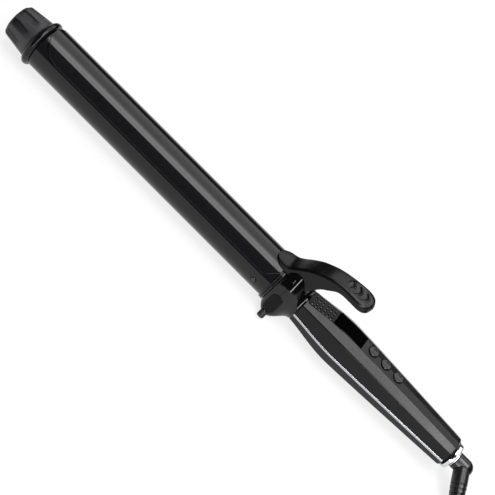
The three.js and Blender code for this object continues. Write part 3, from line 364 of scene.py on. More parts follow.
def skin(name, stations, section_at, in_row=False):
    """Skins equal sections of [y, z] along X, with a lid at each end."""
    rings = [[(x, y, z) for y, z in section_at(x)] for x in stations]
    return make(name, *loft(rings), in_row)


def block(name, low, high):
    (x0, y0, z0), (x1, y1, z1) = low, high
    return skin(name, (x0, x1), lambda x: [(y0, z0), (y1, z0), (y1, z1), (y0, z1)])


def rod(name, start, direction, profile, sides=48, in_row=False):
    """Turns [distance, radius] about a line through start."""
    axis = Vector(direction).normalized()
    side = axis.orthogonal().normalized()
    other = axis.cross(side)

    def point(distance, radius, a):
        return Vector(start) + axis * distance + (side * cos(a) + other * sin(a)) * radius

    return make(name, *loft(lathe(profile, sides, point)), in_row)


def bar(name, start, end, radius, sides=48, in_row=False):
    direction = Vector(end) - Vector(start)
    return rod(name, start, direction, [(0, radius), (direction.length, radius)], sides, in_row)


def spline(points, per=8):
    """A uniform Catmull-Rom curve through the points."""
    p = np.asarray(points, float)
    ends = np.vstack([2 * p[0] - p[1], p, 2 * p[-1] - p[-2]])
    out = []
    for a, b, c, d in zip(ends, ends[1:], ends[2:], ends[3:]):
        for t in linspace(0, 1, per, endpoint=False):
            out.append(0.5 * (2 * b + (c - a) * t + (2 * a - 5 * b + 4 * c - d) * t * t
                              + (3 * b - 3 * c + d - a) * t ** 3))
    return np.array(out + [p[-1]])


def mirrored(side):
    """A half section from its middle top to its middle bottom, and its mirror image back up."""
    return side + [(-y, z) for y, z in side[-2:0:-1]]


def polar(radius, angle, side=1):
    return side * radius * sin(radians(angle)), radius * cos(radians(angle))


def smoothstep(x, low, high):
    t = min(1.0, max(0.0, (x - low) / (high - low)))
    return t * t * (3 - 2 * t)


# ---- cord

CORD_R = 3.1
HANK_X, HANK_RUN, HANK_Y = 274, 124, -33.2
INNER, OUTER = 18.6, 24.8
LOW_Z = 4.0
TURNS, TURN_STEPS, LAST_TURN = 3, 96, 0.945
OUTLET_TURN, OUTLET_BEND = radians(71.5), radians(66)
SWIVEL_DROP = 1.0
outlet_down = Vector((0, -sin(OUTLET_TURN), -cos(OUTLET_TURN)))
outlet_axis = along * cos(OUTLET_BEND) + outlet_down * sin(OUTLET_BEND)
BOOT_OFFSET, BOOT_LENGTH, ELBOW_R = 3.1, 40, 6.4
elbow_centre = HALF * 2 - ELBOW_R
boot_root = Vector((elbow_centre, 0, -SWIVEL_DROP)) + outlet_down * BOOT_OFFSET
outlet = Vector((-HALF, 0, REST)) + boot_root + outlet_axis * (BOOT_LENGTH + GAP)


def hank_point(u, radius, z):
    """A point of the racetrack; u from 0 to 1 is one turn from the start of the left straight."""
    straight, bend = HANK_RUN, pi * radius
    d = (u % 1) * 2 * (straight + bend)
    if d < straight:
        return HANK_X + d, HANK_Y - radius, z
    if straight + bend <= d < 2 * straight + bend:
        return HANK_X + HANK_RUN - (d - straight - bend), HANK_Y + radius, z
    if d < straight + bend:
        middle, a = HANK_X + HANK_RUN, (d - straight) / radius - pi / 2
    else:
        middle, a = HANK_X, (d - 2 * straight - bend) / radius + pi / 2
    return middle + radius * cos(a), HANK_Y + radius * sin(a), z


def cord_route():
    """From the outlet down to the floor, three turns up, the inner turns down, and up to the plug."""
    lead = [tuple(outlet), tuple(outlet + outlet_axis * 3), (238.6, -47.7, 3.3), (245.8, -53.3, 3.15),
            (252.3, -56.1, 3.2), (262, -57.7, 3.6)]
    us = [i / TURN_STEPS for i in range(TURNS * TURN_STEPS + 1)]
    outer = [hank_point(u, OUTER + (INNER - OUTER) * smoothstep(u, TURNS - 0.16, TURNS),
                        LOW_Z + 2 * CORD_R * u) for u in us]
    inner = [hank_point(u, INNER, max(LOW_Z, LOW_Z + 2 * CORD_R * (TURNS - u)))
             for u in us[1:-1] if u < TURNS - 1 + LAST_TURN]
    tail = [(271.5, -50.6, 4.1), (278.5, -48.3, 4.2), (285, -45.45, 4.6), (291, -45.1, 5), (298, -41.2, 6),
            (304, -37.1, 6.9), (310, -33.9, 7.4), (314.5, HANK_Y, 7.5), (319, HANK_Y, 7.5)]
    return np.vstack([spline(lead + outer[:2], 6)[:-7], outer, inner[:-1],
                      spline([inner[-2], inner[-1]] + tail, 6)[6:]])


route = cord_route()
curve = bpy.data.curves.new("mains_cord", "CURVE")
curve.dimensions = "3D"
curve.bevel_depth = CORD_R / 1000
curve.bevel_resolution = 6
curve.use_fill_caps = True
strand = curve.splines.new("POLY")
strand.points.add(len(route) - 1)
strand.points.foreach_set("co", np.hstack([route / 1000, np.ones((len(route), 1))]).ravel())
strand.use_smooth = True
cord = linked("mains_cord", curve)
finish(cord, "swivel", "cord_black", "cord_run", "cord_hank", "cord_tail", angle=None)

# a flat strap round both runs of the hank
STRAP_THICK, STRAP_CORNER = 0.6, 4.0
tie_low, tie_high = box_mm("cord_tie")


def strap_ring(x, grow):
    """The strap's round-cornered loop; grow is its thickness on the outside and 0 on the inside."""
    y0, y1 = tie_low.y + STRAP_THICK - grow, tie_high.y - STRAP_THICK + grow
    z0, z1 = STRAP_THICK - grow, tie_high.z - STRAP_THICK + grow
    c = STRAP_CORNER + grow
    out = []
    for cy, cz, start in ((y1 - c, z0 + c, -90), (y1 - c, z1 - c, 0),
                          (y0 + c, z1 - c, 90), (y0 + c, z0 + c, 180)):
        out += [(x, y, z) for y, z in arc(cy, cz, c, start, start + 90, 10)]
    return out


strap = [strap_ring(x, grow) for x, grow in (
    (tie_low.x, STRAP_THICK), (tie_high.x, STRAP_THICK), (tie_high.x, 0), (tie_low.x, 0))]
tie = soften(make("hank_strap", *loft(strap, closed=True), in_row=True), 0.15, 2)
finish(tie, "swivel", "tie_black", "cord_tie")

# the plug: a ribbed relief, a body with finger grips, and two blades
PLUG_RELIEF, PLUG_HALF, PLUG_RIBS, PLUG_PITCH, SQUARENESS = 22, 12, 6, 3.3, 4.5
plug_low, plug_high = box_mm("plug_body")
PLUG_Z = plug_high.z / 2


def plug():
    relief = [(0, CORD_R + 0.5)]
    for i in range(PLUG_RIBS):
        h = 1.5 + i * PLUG_PITCH
        r = CORD_R + 0.7 + 0.26 * i
        relief += [(h + run, r + rise) for run, rise in (
            (0, 0), (0.35, 0.25), (1.9, 0.3), (2.2, 0), (2.4, -0.55), (3.1, -0.5))]
    relief.append((PLUG_RELIEF + 3, 5.2))
    stem = rod("plug_relief", (plug_low.x, HANK_Y, PLUG_Z), along, relief, 40, in_row=True)
    front = plug_low.x + PLUG_RELIEF
    length = plug_high.x - front
    places = [0.0, 0.8, 2.5, 5.0, 8.0, 12, 18, length - 1.2, length - 0.4, length]
    shares = [0.5, 0.62, 0.76, 0.88, 0.955, 0.985, 1.0, 1.0, 0.985, 0.94]

    def section(x):
        share = np.interp(x - front, places, shares)
        half_z = min(PLUG_Z, PLUG_Z * (0.75 + 0.25 * share))
        half_y = PLUG_HALF * share * (1 - 0.09 * exp(-((x - front - 15) / 5.5) ** 2))
        out = []
        for a in linspace(0, tau, 48, endpoint=False):
            c, s = cos(a), sin(a)
            k = (abs(c) ** SQUARENESS + abs(s) ** SQUARENESS) ** (-1 / SQUARENESS)
            out.append((HANK_Y + half_y * c * k, PLUG_Z + half_z * s * k))
        return out

    xs = [front + s for s in sorted({*places, *linspace(6, 26, 16)})]
    return combine(skin("plug_moulding", xs, section, in_row=True), [stem], "UNION")


def blade(label):
    """A blade with a hole near its tapered end."""
    low, high = box_mm(f"plug_blade_{label}")
    cy, cz = (low.y + high.y) / 2, (low.z + high.z) / 2
    taper, hole_x = 1.6, high.x - 4.2

    def section(x):
        tip = max(0.0, x - (high.x - taper)) / taper
        h, w = (high.z - low.z) / 2 - 1.1 * tip, (high.y - low.y) / 2 - 0.3 * tip
        return [(cy - w, cz - h), (cy + w, cz - h), (cy + w, cz + h), (cy - w, cz + h)]

    xs = [*linspace(low.x, high.x - taper, 6), high.x - taper / 2, high.x]
    hole = bar("hole", (hole_x, low.y - 1, cz), (hole_x, high.y + 1, cz), 1.6, 32, in_row=True)
    made = combine(skin(f"plug_pin_{label}", xs, section, in_row=True), [hole])
    return finish(soften(made, 0.2, 2), "swivel", "brass", f"plug_blade_{label}")


plug_moulding = finish(plug(), "swivel", "plug_black", "plug_body", angle=35)
blades = [blade(label) for _, label in SIDES]

# ---- strain relief and swivel

BOOT_R, BOOT_END_R, SLEEVE, RIB_PITCH, RIB_DEPTH = 5.8, 4.2, 10.5, 3.5, 0.7


def boot():
    """A ball in the elbow, a plain sleeve and a run of ribs down to the cord."""
    profile = arc(0, 0, BOOT_R, 180, 90, 14) + [(SLEEVE - 0.6, BOOT_R)]
    for i in range(int((BOOT_LENGTH - SLEEVE - 1) // RIB_PITCH)):
        h = SLEEVE + i * RIB_PITCH
        r = BOOT_R + (BOOT_END_R - BOOT_R) * (h - SLEEVE) / (BOOT_LENGTH - SLEEVE)
        profile += [(h + run, r - drop) for run, drop in (
            (-0.1, 0), (0.15, 0.25), (0.3, RIB_DEPTH), (0.95, RIB_DEPTH), (1.15, 0.25), (1.45, 0.02))]
    profile += [(BOOT_LENGTH - 0.6, BOOT_END_R), (BOOT_LENGTH - 0.15, BOOT_END_R - 0.15),
                (BOOT_LENGTH, BOOT_END_R - 0.5), (BOOT_LENGTH, 0.0)]
    return rod("strain_relief", boot_root, outlet_axis, profile, 72)


boot_piece = finish(boot(), "swivel", "boot_rubber", "cord_boot")

SPINDLE_R, SPINDLE_BORE, WASHER_R, END_R = 4.6, 2.0, 6.6, 10.4
elbow_x, washer_x, collar_x = span("swivel_elbow"), span("swivel_washer"), span("end_collar")
elbow_front = washer_x[1] + GAP
elbow_profile = [(elbow_x[0], 0.0), (elbow_x[0], SPINDLE_R), (elbow_front, SPINDLE_R)]
elbow_profile += arc(elbow_front + 0.5, ELBOW_R - 0.5, 0.5, 180, 90, 5)
elbow_profile += [(elbow_centre - 4, ELBOW_R), (elbow_centre, ELBOW_R)]
elbow_profile += arc(elbow_centre, 0, ELBOW_R, 84, 0, 15)


def on_swivel(piece):
    """Lowers a piece from the tool's axis to the swivel's."""
    piece.data.transform(Matrix.Translation((0, 0, -SWIVEL_DROP / 1000)))
    return piece


elbow = on_swivel(turned("swivel_hood", elbow_profile, 96))
seat_r = BOOT_R + GAP
seat_profile = [(-seat_r, 0.0)] + arc(0, 0, seat_r, 170, 90, 12) + [(20, seat_r)]
seat = rod("seat", boot_root, outlet_axis, seat_profile, 64)
bore = on_swivel(bar("bore", (elbow_x[0] - 1, 0, 0), (elbow_centre, 0, 0), SPINDLE_BORE, 32))
finish(soften(combine(elbow, [seat, bore]), 0.3), "swivel", "elbow_gloss", "swivel_elbow")

washer_profile = [(washer_x[0], SPINDLE_R + GAP)] + arc(washer_x[0] + 0.3, WASHER_R - 0.3, 0.3, 180, 90, 5)
washer_profile += arc(washer_x[1] - 0.3, WASHER_R - 0.3, 0.3, 90, 0, 5) + [(washer_x[1], SPINDLE_R + GAP)]
washer = on_swivel(turned("swivel_shim", washer_profile, 96, closed=True))
finish(washer, "base", "collar_chrome", "swivel_washer")

end_profile = [(collar_x[0], SPINDLE_R + GAP)] + arc(collar_x[0] + 0.25, END_R - 0.25, 0.25, 180, 90, 4)
end_profile += arc(collar_x[1] - 1.2, END_R - 1.2, 1.2, 90, 20, 9)
end_profile += [(collar_x[1] - 0.05, END_R - 1.75), (collar_x[1], END_R - 2.2),
                (collar_x[1], SPINDLE_R + GAP)]
end_ring = on_swivel(turned("end_band", end_profile, 144, closed=True))
finish(end_ring, "base", "collar_chrome", "end_collar", angle=35)

# ---- cool tip

CAP_FRONT_R, CAP_REAR_R, CAP_NOSE, CAP_SKIRT, CAP_BORE = 12.6, 15.3, 2.6, 6.0, 9.7
CAP_LENGTH = RING_X[0]
FLUTES, FLUTE_DEPTH, FLUTE_TURN, FLUTE_HALF = 9, 1.3, radians(22), 13
FLUTE_TAPER, FLUTE_RISE, FLUTE_FADE = 0.25, 0.6, 11


def flute(x, a):
    """How deep the cap is cut at an angle: a crisp wall above and a floor that rises below it."""
    pitch = tau / FLUTES
    place = degrees((a - FLUTE_TURN + pitch / 2) % pitch - pitch / 2)
    wide = FLUTE_HALF * (1 - FLUTE_TAPER * smoothstep(x, 4, CAP_LENGTH - CAP_SKIRT))
    floor = smoothstep(place, -wide - 0.5, -wide + 0.5) * (1 - FLUTE_RISE * smoothstep(place, -wide, wide))
    cut = floor * (1 - smoothstep(place, wide - 1.2, wide + 0.8))
    fade = 1 - smoothstep(x, FLUTE_FADE, CAP_LENGTH - CAP_SKIRT / 2 + 0.4 * place / wide)
    return FLUTE_DEPTH * cut * fade


def tip_cap():
    def radius(x, r, a):
        return r - flute(x, a if a <= pi else tau - a) * smoothstep(r, 9.8, 12)

    def outer(x):
        body = CAP_FRONT_R + (CAP_REAR_R - CAP_FRONT_R) * x / CAP_LENGTH
        nose = max(0.0, CAP_NOSE - x)
        return body - CAP_NOSE + sqrt(CAP_NOSE ** 2 - nose ** 2)

    end = CAP_LENGTH - GAP
    xs = [0, 0.05, 0.2, 0.45, 0.8, 1.2, 1.7, 2.2, CAP_NOSE, *linspace(3.2, end - 0.3, 34)]
    profile = [(0.0, 0.0), (0.0, 4.0), (0.0, 8.0)] + [(x, outer(x)) for x in xs]
    profile += [(end, outer(end) - 0.3), (end, CAP_BORE), (3.0, CAP_BORE), (3.0, 0.0)]
    return turned("cap_shell", profile, 540, radius_at=radius)


def flute_shade(x, y, z):
    """Painted shade in the flutes: 1 deep in a flute near the nose, 0 on the cap's ribs."""
    if hypot(y, z) < CAP_BORE + 0.1:
        return 0.0
    return min(1.0, 1.7 * flute(x, abs(atan2(y, z))) / FLUTE_DEPTH) * (1 - 0.6 * x / CAP_LENGTH)


cap = tip_cap()
# painted shade: the cap's colour darkens deep in its flutes
mark_points(cap, flute_shade)
finish(cap, "base", "cap_satin", "tip_cap", angle=32)

ring_mid, ring_tube = sum(RING_X) / 2, (RING_X[1] - RING_X[0]) / 2
ring = turned("guard_ring", arc(ring_mid, REST - ring_tube, ring_tube, 0, 360, 49)[:-1], 160, closed=True)
finish(ring, "base", "ring_gloss", "tip_ring", angle=60)

# ---- barrel

BARREL_R, BORE_R, COLLAR_R = 16.0, 14.8, 17.2
SCREW_X = sum(span("barrel_screw_left")) / 2
SCREW_ANGLE, SCREW_R, SHANK_R = 96, 1.8, 1.2


def screw_points(side, inner, outer):
    return [(SCREW_X, *polar(radius, SCREW_ANGLE, side)) for radius in (inner, outer)]


barrel_profile = [(BARREL_X[0], BORE_R)] + arc(BARREL_X[0] + 0.3, BARREL_R - 0.3, 0.3, 180, 90, 4)
barrel_profile += [(x, BARREL_R) for x in linspace(BARREL_X[0] + 6, BARREL_X[1] - 6, 12)]
barrel_profile += [(BARREL_X[1], BARREL_R), (BARREL_X[1], BORE_R)]
barrel = turned("barrel_skin", barrel_profile, 192, closed=True)
combine(barrel, [bar("hole", *screw_points(side, 12, 18), SCREW_R + GAP * 1.6, 48) for side, _ in SIDES])
finish(barrel, "base", "barrel_coat", "barrel_tube", angle=35)

for side, label in SIDES:
    start, end = screw_points(side, BORE_R - GAP - 3.5, BARREL_R + 0.5)
    reach = (Vector(end) - Vector(start)).length
    head = [(0, SHANK_R)] + [(reach - back_by, radius) for back_by, radius in (
        (1.5, SHANK_R), (1.4, SCREW_R - 0.05), (0.55, SCREW_R), (0.25, SCREW_R - 0.12),
        (0.08, SCREW_R - 0.45), (0, SCREW_R - 0.95), (0, 0.0))]
    screw = rod(f"barrel_stud_{label}", start, Vector(end) - Vector(start), head, 48)
    slot = block("slot", (-0.32, -0.55, -2.4), (0.32, 0.55, 2.4))
    turn = Matrix.Rotation(-side * radians(SCREW_ANGLE), 4, "X") @ Matrix.Rotation(pi / 2, 4, "X")
    for move in (Matrix.Translation(-row((0, 0, 0))[0]), turn, Matrix.Translation(row(end)[0])):
        slot.data.transform(move)
    finish(combine(screw, [slot]), "base", "dark_steel", f"barrel_screw_{label}", angle=35)

GROOVE_X, BAND_EDGE = COLLAR_X[0] + 1.25, 0.5
band_profile = [(COLLAR_X[0], BARREL_R + GAP)]
band_profile += arc(COLLAR_X[0] + BAND_EDGE, COLLAR_R - 0.7, BAND_EDGE, 180, 90, 6)
band_profile += arc(GROOVE_X - BAND_EDGE, COLLAR_R - 0.7, BAND_EDGE, 90, 20, 5)
band_profile += [(GROOVE_X + 0.1, COLLAR_R - 0.7)] + arc(GROOVE_X + 0.5, COLLAR_R - 0.4, 0.4, 170, 90, 5)
band_profile += arc(COLLAR_X[1] - BAND_EDGE, COLLAR_R - BAND_EDGE, BAND_EDGE, 90, 0, 6)
band_profile += [(COLLAR_X[1], BARREL_R + GAP)]
finish(turned("barrel_band", band_profile, 160, closed=True), "base", "collar_gloss", "barrel_collar")

# ---- clamp

CLAMP_IN, CLAMP_OUT, CLAMP_HALF, TONGUE = 16.6, 18.0, 64.5, 19.0
CLAMP_REAR_HALF, CLAMP_TAPER, CLAMP_EDGE = 37, 7.7, 0.45


def clamp_plate():
    straight, taper = CLAMP_X[0] + TONGUE, CLAMP_X[1] - CLAMP_TAPER

    def section(x):
        """From the plate's right edge over its top to the left, round the edge and back below."""
        back_by = max(0.0, straight - x) / TONGUE
        cut_back = (CLAMP_HALF - CLAMP_REAR_HALF) * max(0.0, x - taper) / CLAMP_TAPER
        half = radians(CLAMP_HALF * sqrt(max(0.0008, 1 - back_by ** 2)) - cut_back)
        inset = CLAMP_EDGE / CLAMP_OUT
        full = half - min(inset, half * 0.4)
        middle, r = (CLAMP_OUT + CLAMP_IN) / 2, (CLAMP_OUT - CLAMP_IN) / 2
        out = []
        for radius, side in ((CLAMP_OUT, 1), (CLAMP_IN, -1)):
            for a in linspace(side * full, -side * full, 72):
                out.append((radius * sin(a), radius * cos(a)))
            for a in np.radians(linspace(side * 60, -side * 60, 6)):
                rr, t = middle + r * sin(a), half - inset + inset * cos(a)
                out.append((-side * rr * sin(t), rr * cos(t)))
        return out

    nose = [CLAMP_X[0] + TONGUE * (1 - cos(pi * i / 56)) for i in range(28)]
    return skin("clamp_blade", [*nose, *linspace(straight, taper, 12),
                                *linspace(taper, CLAMP_X[1], 6)[1:]], section)


finish(clamp_plate(), "clamp_arm", "clamp_coat", "clamp_plate")

# ---- lever

LEVER_TOE, REACH, RISE, LEVER_THICK = 20.8, 49.1, 25.1, 6.2
TOE_HALF, MID_HALF, PAD_HALF, LEVER_SKIRT, SKIRT_END = 8.1, 8.3, 9.4, 3.0, 0.14
CROWN, TOP_EDGE, LOW_EDGE = 0.4, 2.4, 0.9
RIDGES, RIDGE_BOW, DISH, ROLL_OFF = (-7.2, -1.1, 5.0), 3.4, 0.7, 0.28
PAD_LENGTH, PAD_WIDTH, PAD_INSET, PAD_THICK, PAD_RINGS = 22.0, 7.3, 2.0, 1.2, 46
PAD_X = HINGE_X + REACH - PAD_INSET - PAD_LENGTH / 2
PAD_Z = 0.985 * RISE
PAD_TILT = atan2(0.05 * RISE, 0.5 * REACH)
SEAT_R = CLAMP_OUT + GAP
BRACKET_TOP = SEAT_R + 0.8
CHANNEL_HALF, COIL_ROOM, PIN_R = 5.4 + GAP, 3.4 + 4 * GAP, 1.8
channel_start = HUB_X[0] + 3 * GAP - HINGE_X

# the lever from the side and from above; distances are from the hinge
toe, pad_middle = -LEVER_TOE, PAD_X - HINGE_X
under, lip = RISE - LEVER_THICK, RISE - 0.6 * LEVER_THICK
foot_z = BRACKET_TOP - HINGE_Z
top_line = spline([(toe, CLAMP_OUT + 3 * GAP - HINGE_Z)] + [
    (place * (LEVER_TOE if place < 0 else REACH), foot_z + share * (RISE - foot_z))
    for place, share in (
        (-0.93, 0), (-0.77, 0.026), (-0.47, 0.09), (-0.28, 0.207), (-0.05, 0.411), (0.09, 0.608),
        (0.19, 0.728), (0.325, 0.857), (0.51, 0.951), (0.74, 0.986), (0.91, 1))] + [
    (0.98 * REACH, RISE - 0.26 * LEVER_THICK), (REACH, lip)], 10)
bottom_line = spline([(share * REACH, z) for share, z in (
    (SKIRT_END, -LEVER_SKIRT), (0.2, -0.67 * LEVER_SKIRT), (0.3, 0.3 * RISE), (0.4, 0.5 * RISE),
    (0.51, under - 0.27 * LEVER_THICK), (0.68, under - 0.02 * LEVER_THICK), (0.85, under),
    (0.971, under + 0.05 * LEVER_THICK), (1, lip))], 10)
plan_line = spline([
    (toe, 0), (toe + 0.024 * LEVER_TOE, 0.37 * TOE_HALF), (toe + 0.144 * LEVER_TOE, 0.765 * TOE_HALF),
    (toe + 0.385 * LEVER_TOE, TOE_HALF), (0, MID_HALF), (pad_middle - 0.59 * PAD_LENGTH, MID_HALF),
    (pad_middle, PAD_HALF), (pad_middle + 0.32 * PAD_LENGTH, 0.936 * PAD_HALF),
    (pad_middle + 0.51 * PAD_LENGTH, 0.553 * PAD_HALF), (REACH, 0)], 14)


def lever_top(dx):
    return np.interp(dx, *top_line.T)


def seat_z(y):
    """The height where the lever's front rests over the clamp plate."""
    return sqrt(max(1.0, SEAT_R ** 2 - y * y)) - HINGE_Z


def lever_section(dx, half):
    """From the top's middle down the right side, along the underside and back up the left."""
    seated = dx < channel_start
    if seated:
        low = seat_z(half)
    elif dx < SKIRT_END * REACH:
        low = -LEVER_SKIRT
    else:
        low = np.interp(dx, *bottom_line.T)
    crown = CROWN * min(1.0, half / 6)
    top = min(RISE, lever_top(dx) + crown / 2)
    tall = max(0.3, top - crown - low)
    e = min(TOP_EDGE, half * 0.45, tall * 0.45)
    f = min(LOW_EDGE, half * 0.4, tall * 0.45)
    side = [(y, top - crown * (y / half) ** 2) for y in (half - e) * linspace(0, 1, 12)]
    edge_z = side[-1][1] - e
    side += arc(half - e, edge_z, e, 75, 0, 5)
    side += [(half, edge_z + (low + f - edge_z) * t) for t in linspace(0.2, 0.8, 4)]
    if seated:
        side += [(half, low)] * 5 + [(y, seat_z(y)) for y in linspace(half, 0, 10)]
    else:
        side += arc(half - f, low + f, f, 0, -80, 5)
        side += [((half - f) * (1 - t), low) for t in linspace(0, 1, 10)]
    return mirrored(side)


def lever_body():
    stations = []
    for dx, half in plan_line:
        if half >= 0.35 and (not stations or dx - stations[-1][0] >= 0.02):
            stations.append((dx, half))
    half = np.interp(channel_start, *plan_line.T)
    stations += [(channel_start - 0.01, half), (channel_start + 0.01, half)]
    halves = {round(HINGE_X + dx, 5): half for dx, half in sorted(stations)}

    def section(x):
        return [(y, z + HINGE_Z) for y, z in lever_section(x - HINGE_X, halves[x])]

    return skin("lever_arm", list(halves), section)


def pad_oval(share, count, grow=0.0):
    """Places over the pad's oval: share 0 at its middle, 1 at its rim."""
    return [(share * (PAD_LENGTH / 2 + grow) * cos(a), share * (PAD_WIDTH + grow) * sin(a))
            for a in linspace(0, tau, count, endpoint=False)]


def pad_frame(points):
    """Sets points of the pad's own plane into the tool's frame."""
    c, s = cos(PAD_TILT), sin(PAD_TILT)
    return [(PAD_X + x * c - z * s, y, HINGE_Z + PAD_Z + x * s + z * c) for x, y, z in points]


def surface_z(x, y):
    """The lever's crowned top over a place, over the pad's middle plane."""
    dx = x + pad_middle
    half = max(1.0, np.interp(dx, *plan_line.T))
    top = min(RISE, lever_top(dx) + CROWN / 2)
    return top - CROWN * (y / half) ** 2 - (PAD_Z + x * sin(PAD_TILT))


def pad_ridge(x, y):
    """The dished pad with three bowed ridges, each behind a groove."""
    height = -DISH * max(0.0, 1 - (2 * x / PAD_LENGTH) ** 2 - (y / PAD_WIDTH) ** 2)
    reach = 1 - smoothstep(abs(y), 4.2, 5.6)
    for centre in RIDGES:
        d = x - (centre + 1.5 - RIDGE_BOW * (abs(y) / 5.5) ** 2)
        height += reach * (0.6 * exp(-(d / 0.6) ** 2) - 0.6 * exp(-((d + 1.2) / 0.5) ** 2))
    return min(height, 0.0)


def thumb_pad():
    rings = [[(0, 0, surface_z(0, 0) + pad_ridge(0, 0))]]
    for k in range(1, PAD_RINGS + 1):
        share = k / PAD_RINGS
        roll = ROLL_OFF * smoothstep(share, 0.93, 1.0)
        rings.append([(x, y, surface_z(x, y) + pad_ridge(x, y) - roll) for x, y in pad_oval(share, 120)])
    rings.append([(x, y, surface_z(x, y) - PAD_THICK) for x, y in pad_oval(1, 120)])
    return make("thumb_rest", *loft([pad_frame(ring) for ring in rings]))


pocket = [pad_frame([(x, y, z) for x, y in pad_oval(1, 96, GAP)]) for z in (-PAD_THICK - 0.5, 6)]
lever = combine(lever_body(), [
    block("room", (span("clamp_bracket")[0] - GAP, -CHANNEL_HALF, 0),
          (HINGE_X, CHANNEL_HALF, BRACKET_TOP + GAP)),
    block("room", (HINGE_X - COIL_ROOM, -CHANNEL_HALF, 0),
          (HINGE_X + 1.5 * COIL_ROOM, CHANNEL_HALF, HINGE_Z + COIL_ROOM)),
    bar("bore", (HINGE_X, -FAR, HINGE_Z), (HINGE_X, FAR, HINGE_Z), PIN_R + GAP),
    make("pocket", *loft(pocket))])
finish(lever, "clamp_arm", "lever_satin", "lever", angle=38)
finish(thumb_pad(), "clamp_arm", "pad_rubber", "lever_pad", angle=50, weighted=False)

# ---- hub and stand

EAR_TOP, EAR_HALF, SLOT_HALF, SLOT_FLOOR, SLOT_WALL, PIN_COVER = 24.3, 13.0, 9.0, 11.6, 3.2, 1.6
HUB_HALF, HUB_FLAT, HUB_TAIL, HUB_EDGE = 17.0, 1.4, 14.8, 0.25
FOOT_SPLAY, FOOT_R, FOOT_ROUND, FOOT_SOCKET, BOSS_REACH = radians(52), 2.7, 1.2, 0.6, 22.8
BADGE_LENGTH, BADGE_WIDTH, BADGE_THICK, BADGE_TOP = 17.0, 9.0, 0.8, 5.0
BADGE_LEAN = radians(6.5)
MARK_X = HINGE_X + 0.15
NECK_R, FRONT_R = 9.7, 13.4

boss_y, boss_z = BOSS_REACH * sin(FOOT_SPLAY), -BOSS_REACH * cos(FOOT_SPLAY)
hub_side = spline([
    (0, EAR_TOP), (SLOT_HALF - 1.5, EAR_TOP - 0.2), (SLOT_HALF + 0.2, EAR_TOP - 1.6),
    (SLOT_HALF + 2.6, EAR_TOP - 4), (EAR_HALF + 1.1, HINGE_Z * 0.89), (HUB_HALF - 1.1, HINGE_Z * 0.64),
    (HUB_HALF - 0.2, HINGE_Z / 3), (HUB_HALF, 0), (HUB_HALF + 0.6, 0.43 * boss_z),
    (HUB_HALF + 1.1, 0.78 * boss_z), (boss_y + 0.2, boss_z + 0.8), (boss_y - 1.6, boss_z - 2),
    (boss_y - 4.6, boss_z - 2), (SLOT_HALF, boss_z - 0.8), (0, boss_z)], 9)


def hub_section(x):
    """Round at both ends of the hub, with ears and foot bosses between them."""
    behind = smoothstep(x, HINGE_X - HUB_FLAT, HINGE_X + HUB_TAIL)
    round_r = COLLAR_R + (FRONT_R - COLLAR_R) * behind
    edge = min(x - HUB_X[0], HUB_X[1] - x)
    trim = 1 - 0.02 * max(0.0, 1 - edge / HUB_EDGE)
    side = []
    for y, z in hub_side:
        if x < HINGE_X:
            power = 0.5 if z > 0 else 1.0
            swell = max(0.0, 1 - ((HINGE_X - x) / (HINGE_X - HUB_X[0])) ** 2) ** power
        else:
            swell = 1 - smoothstep(x, HINGE_X + HUB_FLAT, HINGE_X + HUB_TAIL)
        scale = round_r / hypot(y, z)
        k = (scale + (1 - scale) * swell) * trim
        side.append((y * k, z * k))
    return mirrored(side)


def badge_tool(name, side, grow, layers):
    """A stadium stack: layers of [inset, height] over the badge's face."""
    c, s, half = cos(BADGE_LEAN), sin(BADGE_LEAN), BADGE_LENGTH / 2
    centre = Vector((MARK_X, side * (HUB_HALF - BADGE_THICK / 2 + half * s), BADGE_TOP - half * c))
    out_axis, up_axis = Vector((0, side * c, s)), Vector((0, -side * s, c))
    straight = half - BADGE_WIDTH / 2
    ends = [(shift, a) for shift, start in ((straight, 0), (-straight, pi))
            for a in linspace(start, start + pi, 24)]
    rings = []
    for inset, height in layers:
        radius = BADGE_WIDTH / 2 + grow - inset
        rings.append([centre + along * (radius * cos(a)) + up_axis * (shift + radius * sin(a))
                      + out_axis * height for shift, a in ends])
    return make(name, *loft(rings))


foot_flat = FOOT_R - FOOT_ROUND
foot_end = (REST - FOOT_ROUND - foot_flat * sin(FOOT_SPLAY)) / cos(FOOT_SPLAY) + FOOT_ROUND


def foot_tool(name, side, profile):
    return rod(name, (MARK_X, 0, 0), (0, side * sin(FOOT_SPLAY), -cos(FOOT_SPLAY)), profile)


def hub_whole():
    front = [HINGE_X - (HINGE_X - HUB_X[0]) * cos(a) for a in linspace(0, pi / 2, 26)]
    xs = sorted({*front, *linspace(HINGE_X, HUB_X[1], 40), HUB_X[1] - HUB_EDGE})
    pin_half = EAR_HALF - PIN_COVER
    tools = [block("slot", (HUB_X[0] - 5, -SLOT_HALF, SLOT_FLOOR), (HUB_X[1] - SLOT_WALL, SLOT_HALF, FAR)),
             bar("bore", (HUB_X[0] - 5, 0, 0), (HUB_X[1] + 5, 0, 0), NECK_R + GAP, 64),
             bar("pin", (HINGE_X, -pin_half, HINGE_Z), (HINGE_X, pin_half, HINGE_Z), PIN_R + GAP, 40)]
    for side, _ in SIDES:
        tools.append(badge_tool("socket", side, GAP, [(0, -BADGE_THICK - GAP), (0, 8)]))
        tools.append(foot_tool("socket", side, [
            (BOSS_REACH - FOOT_SOCKET - GAP, FOOT_R + GAP), (foot_end + 5, FOOT_R + GAP)]))
    return combine(skin("hub_whole", xs, hub_section), tools)


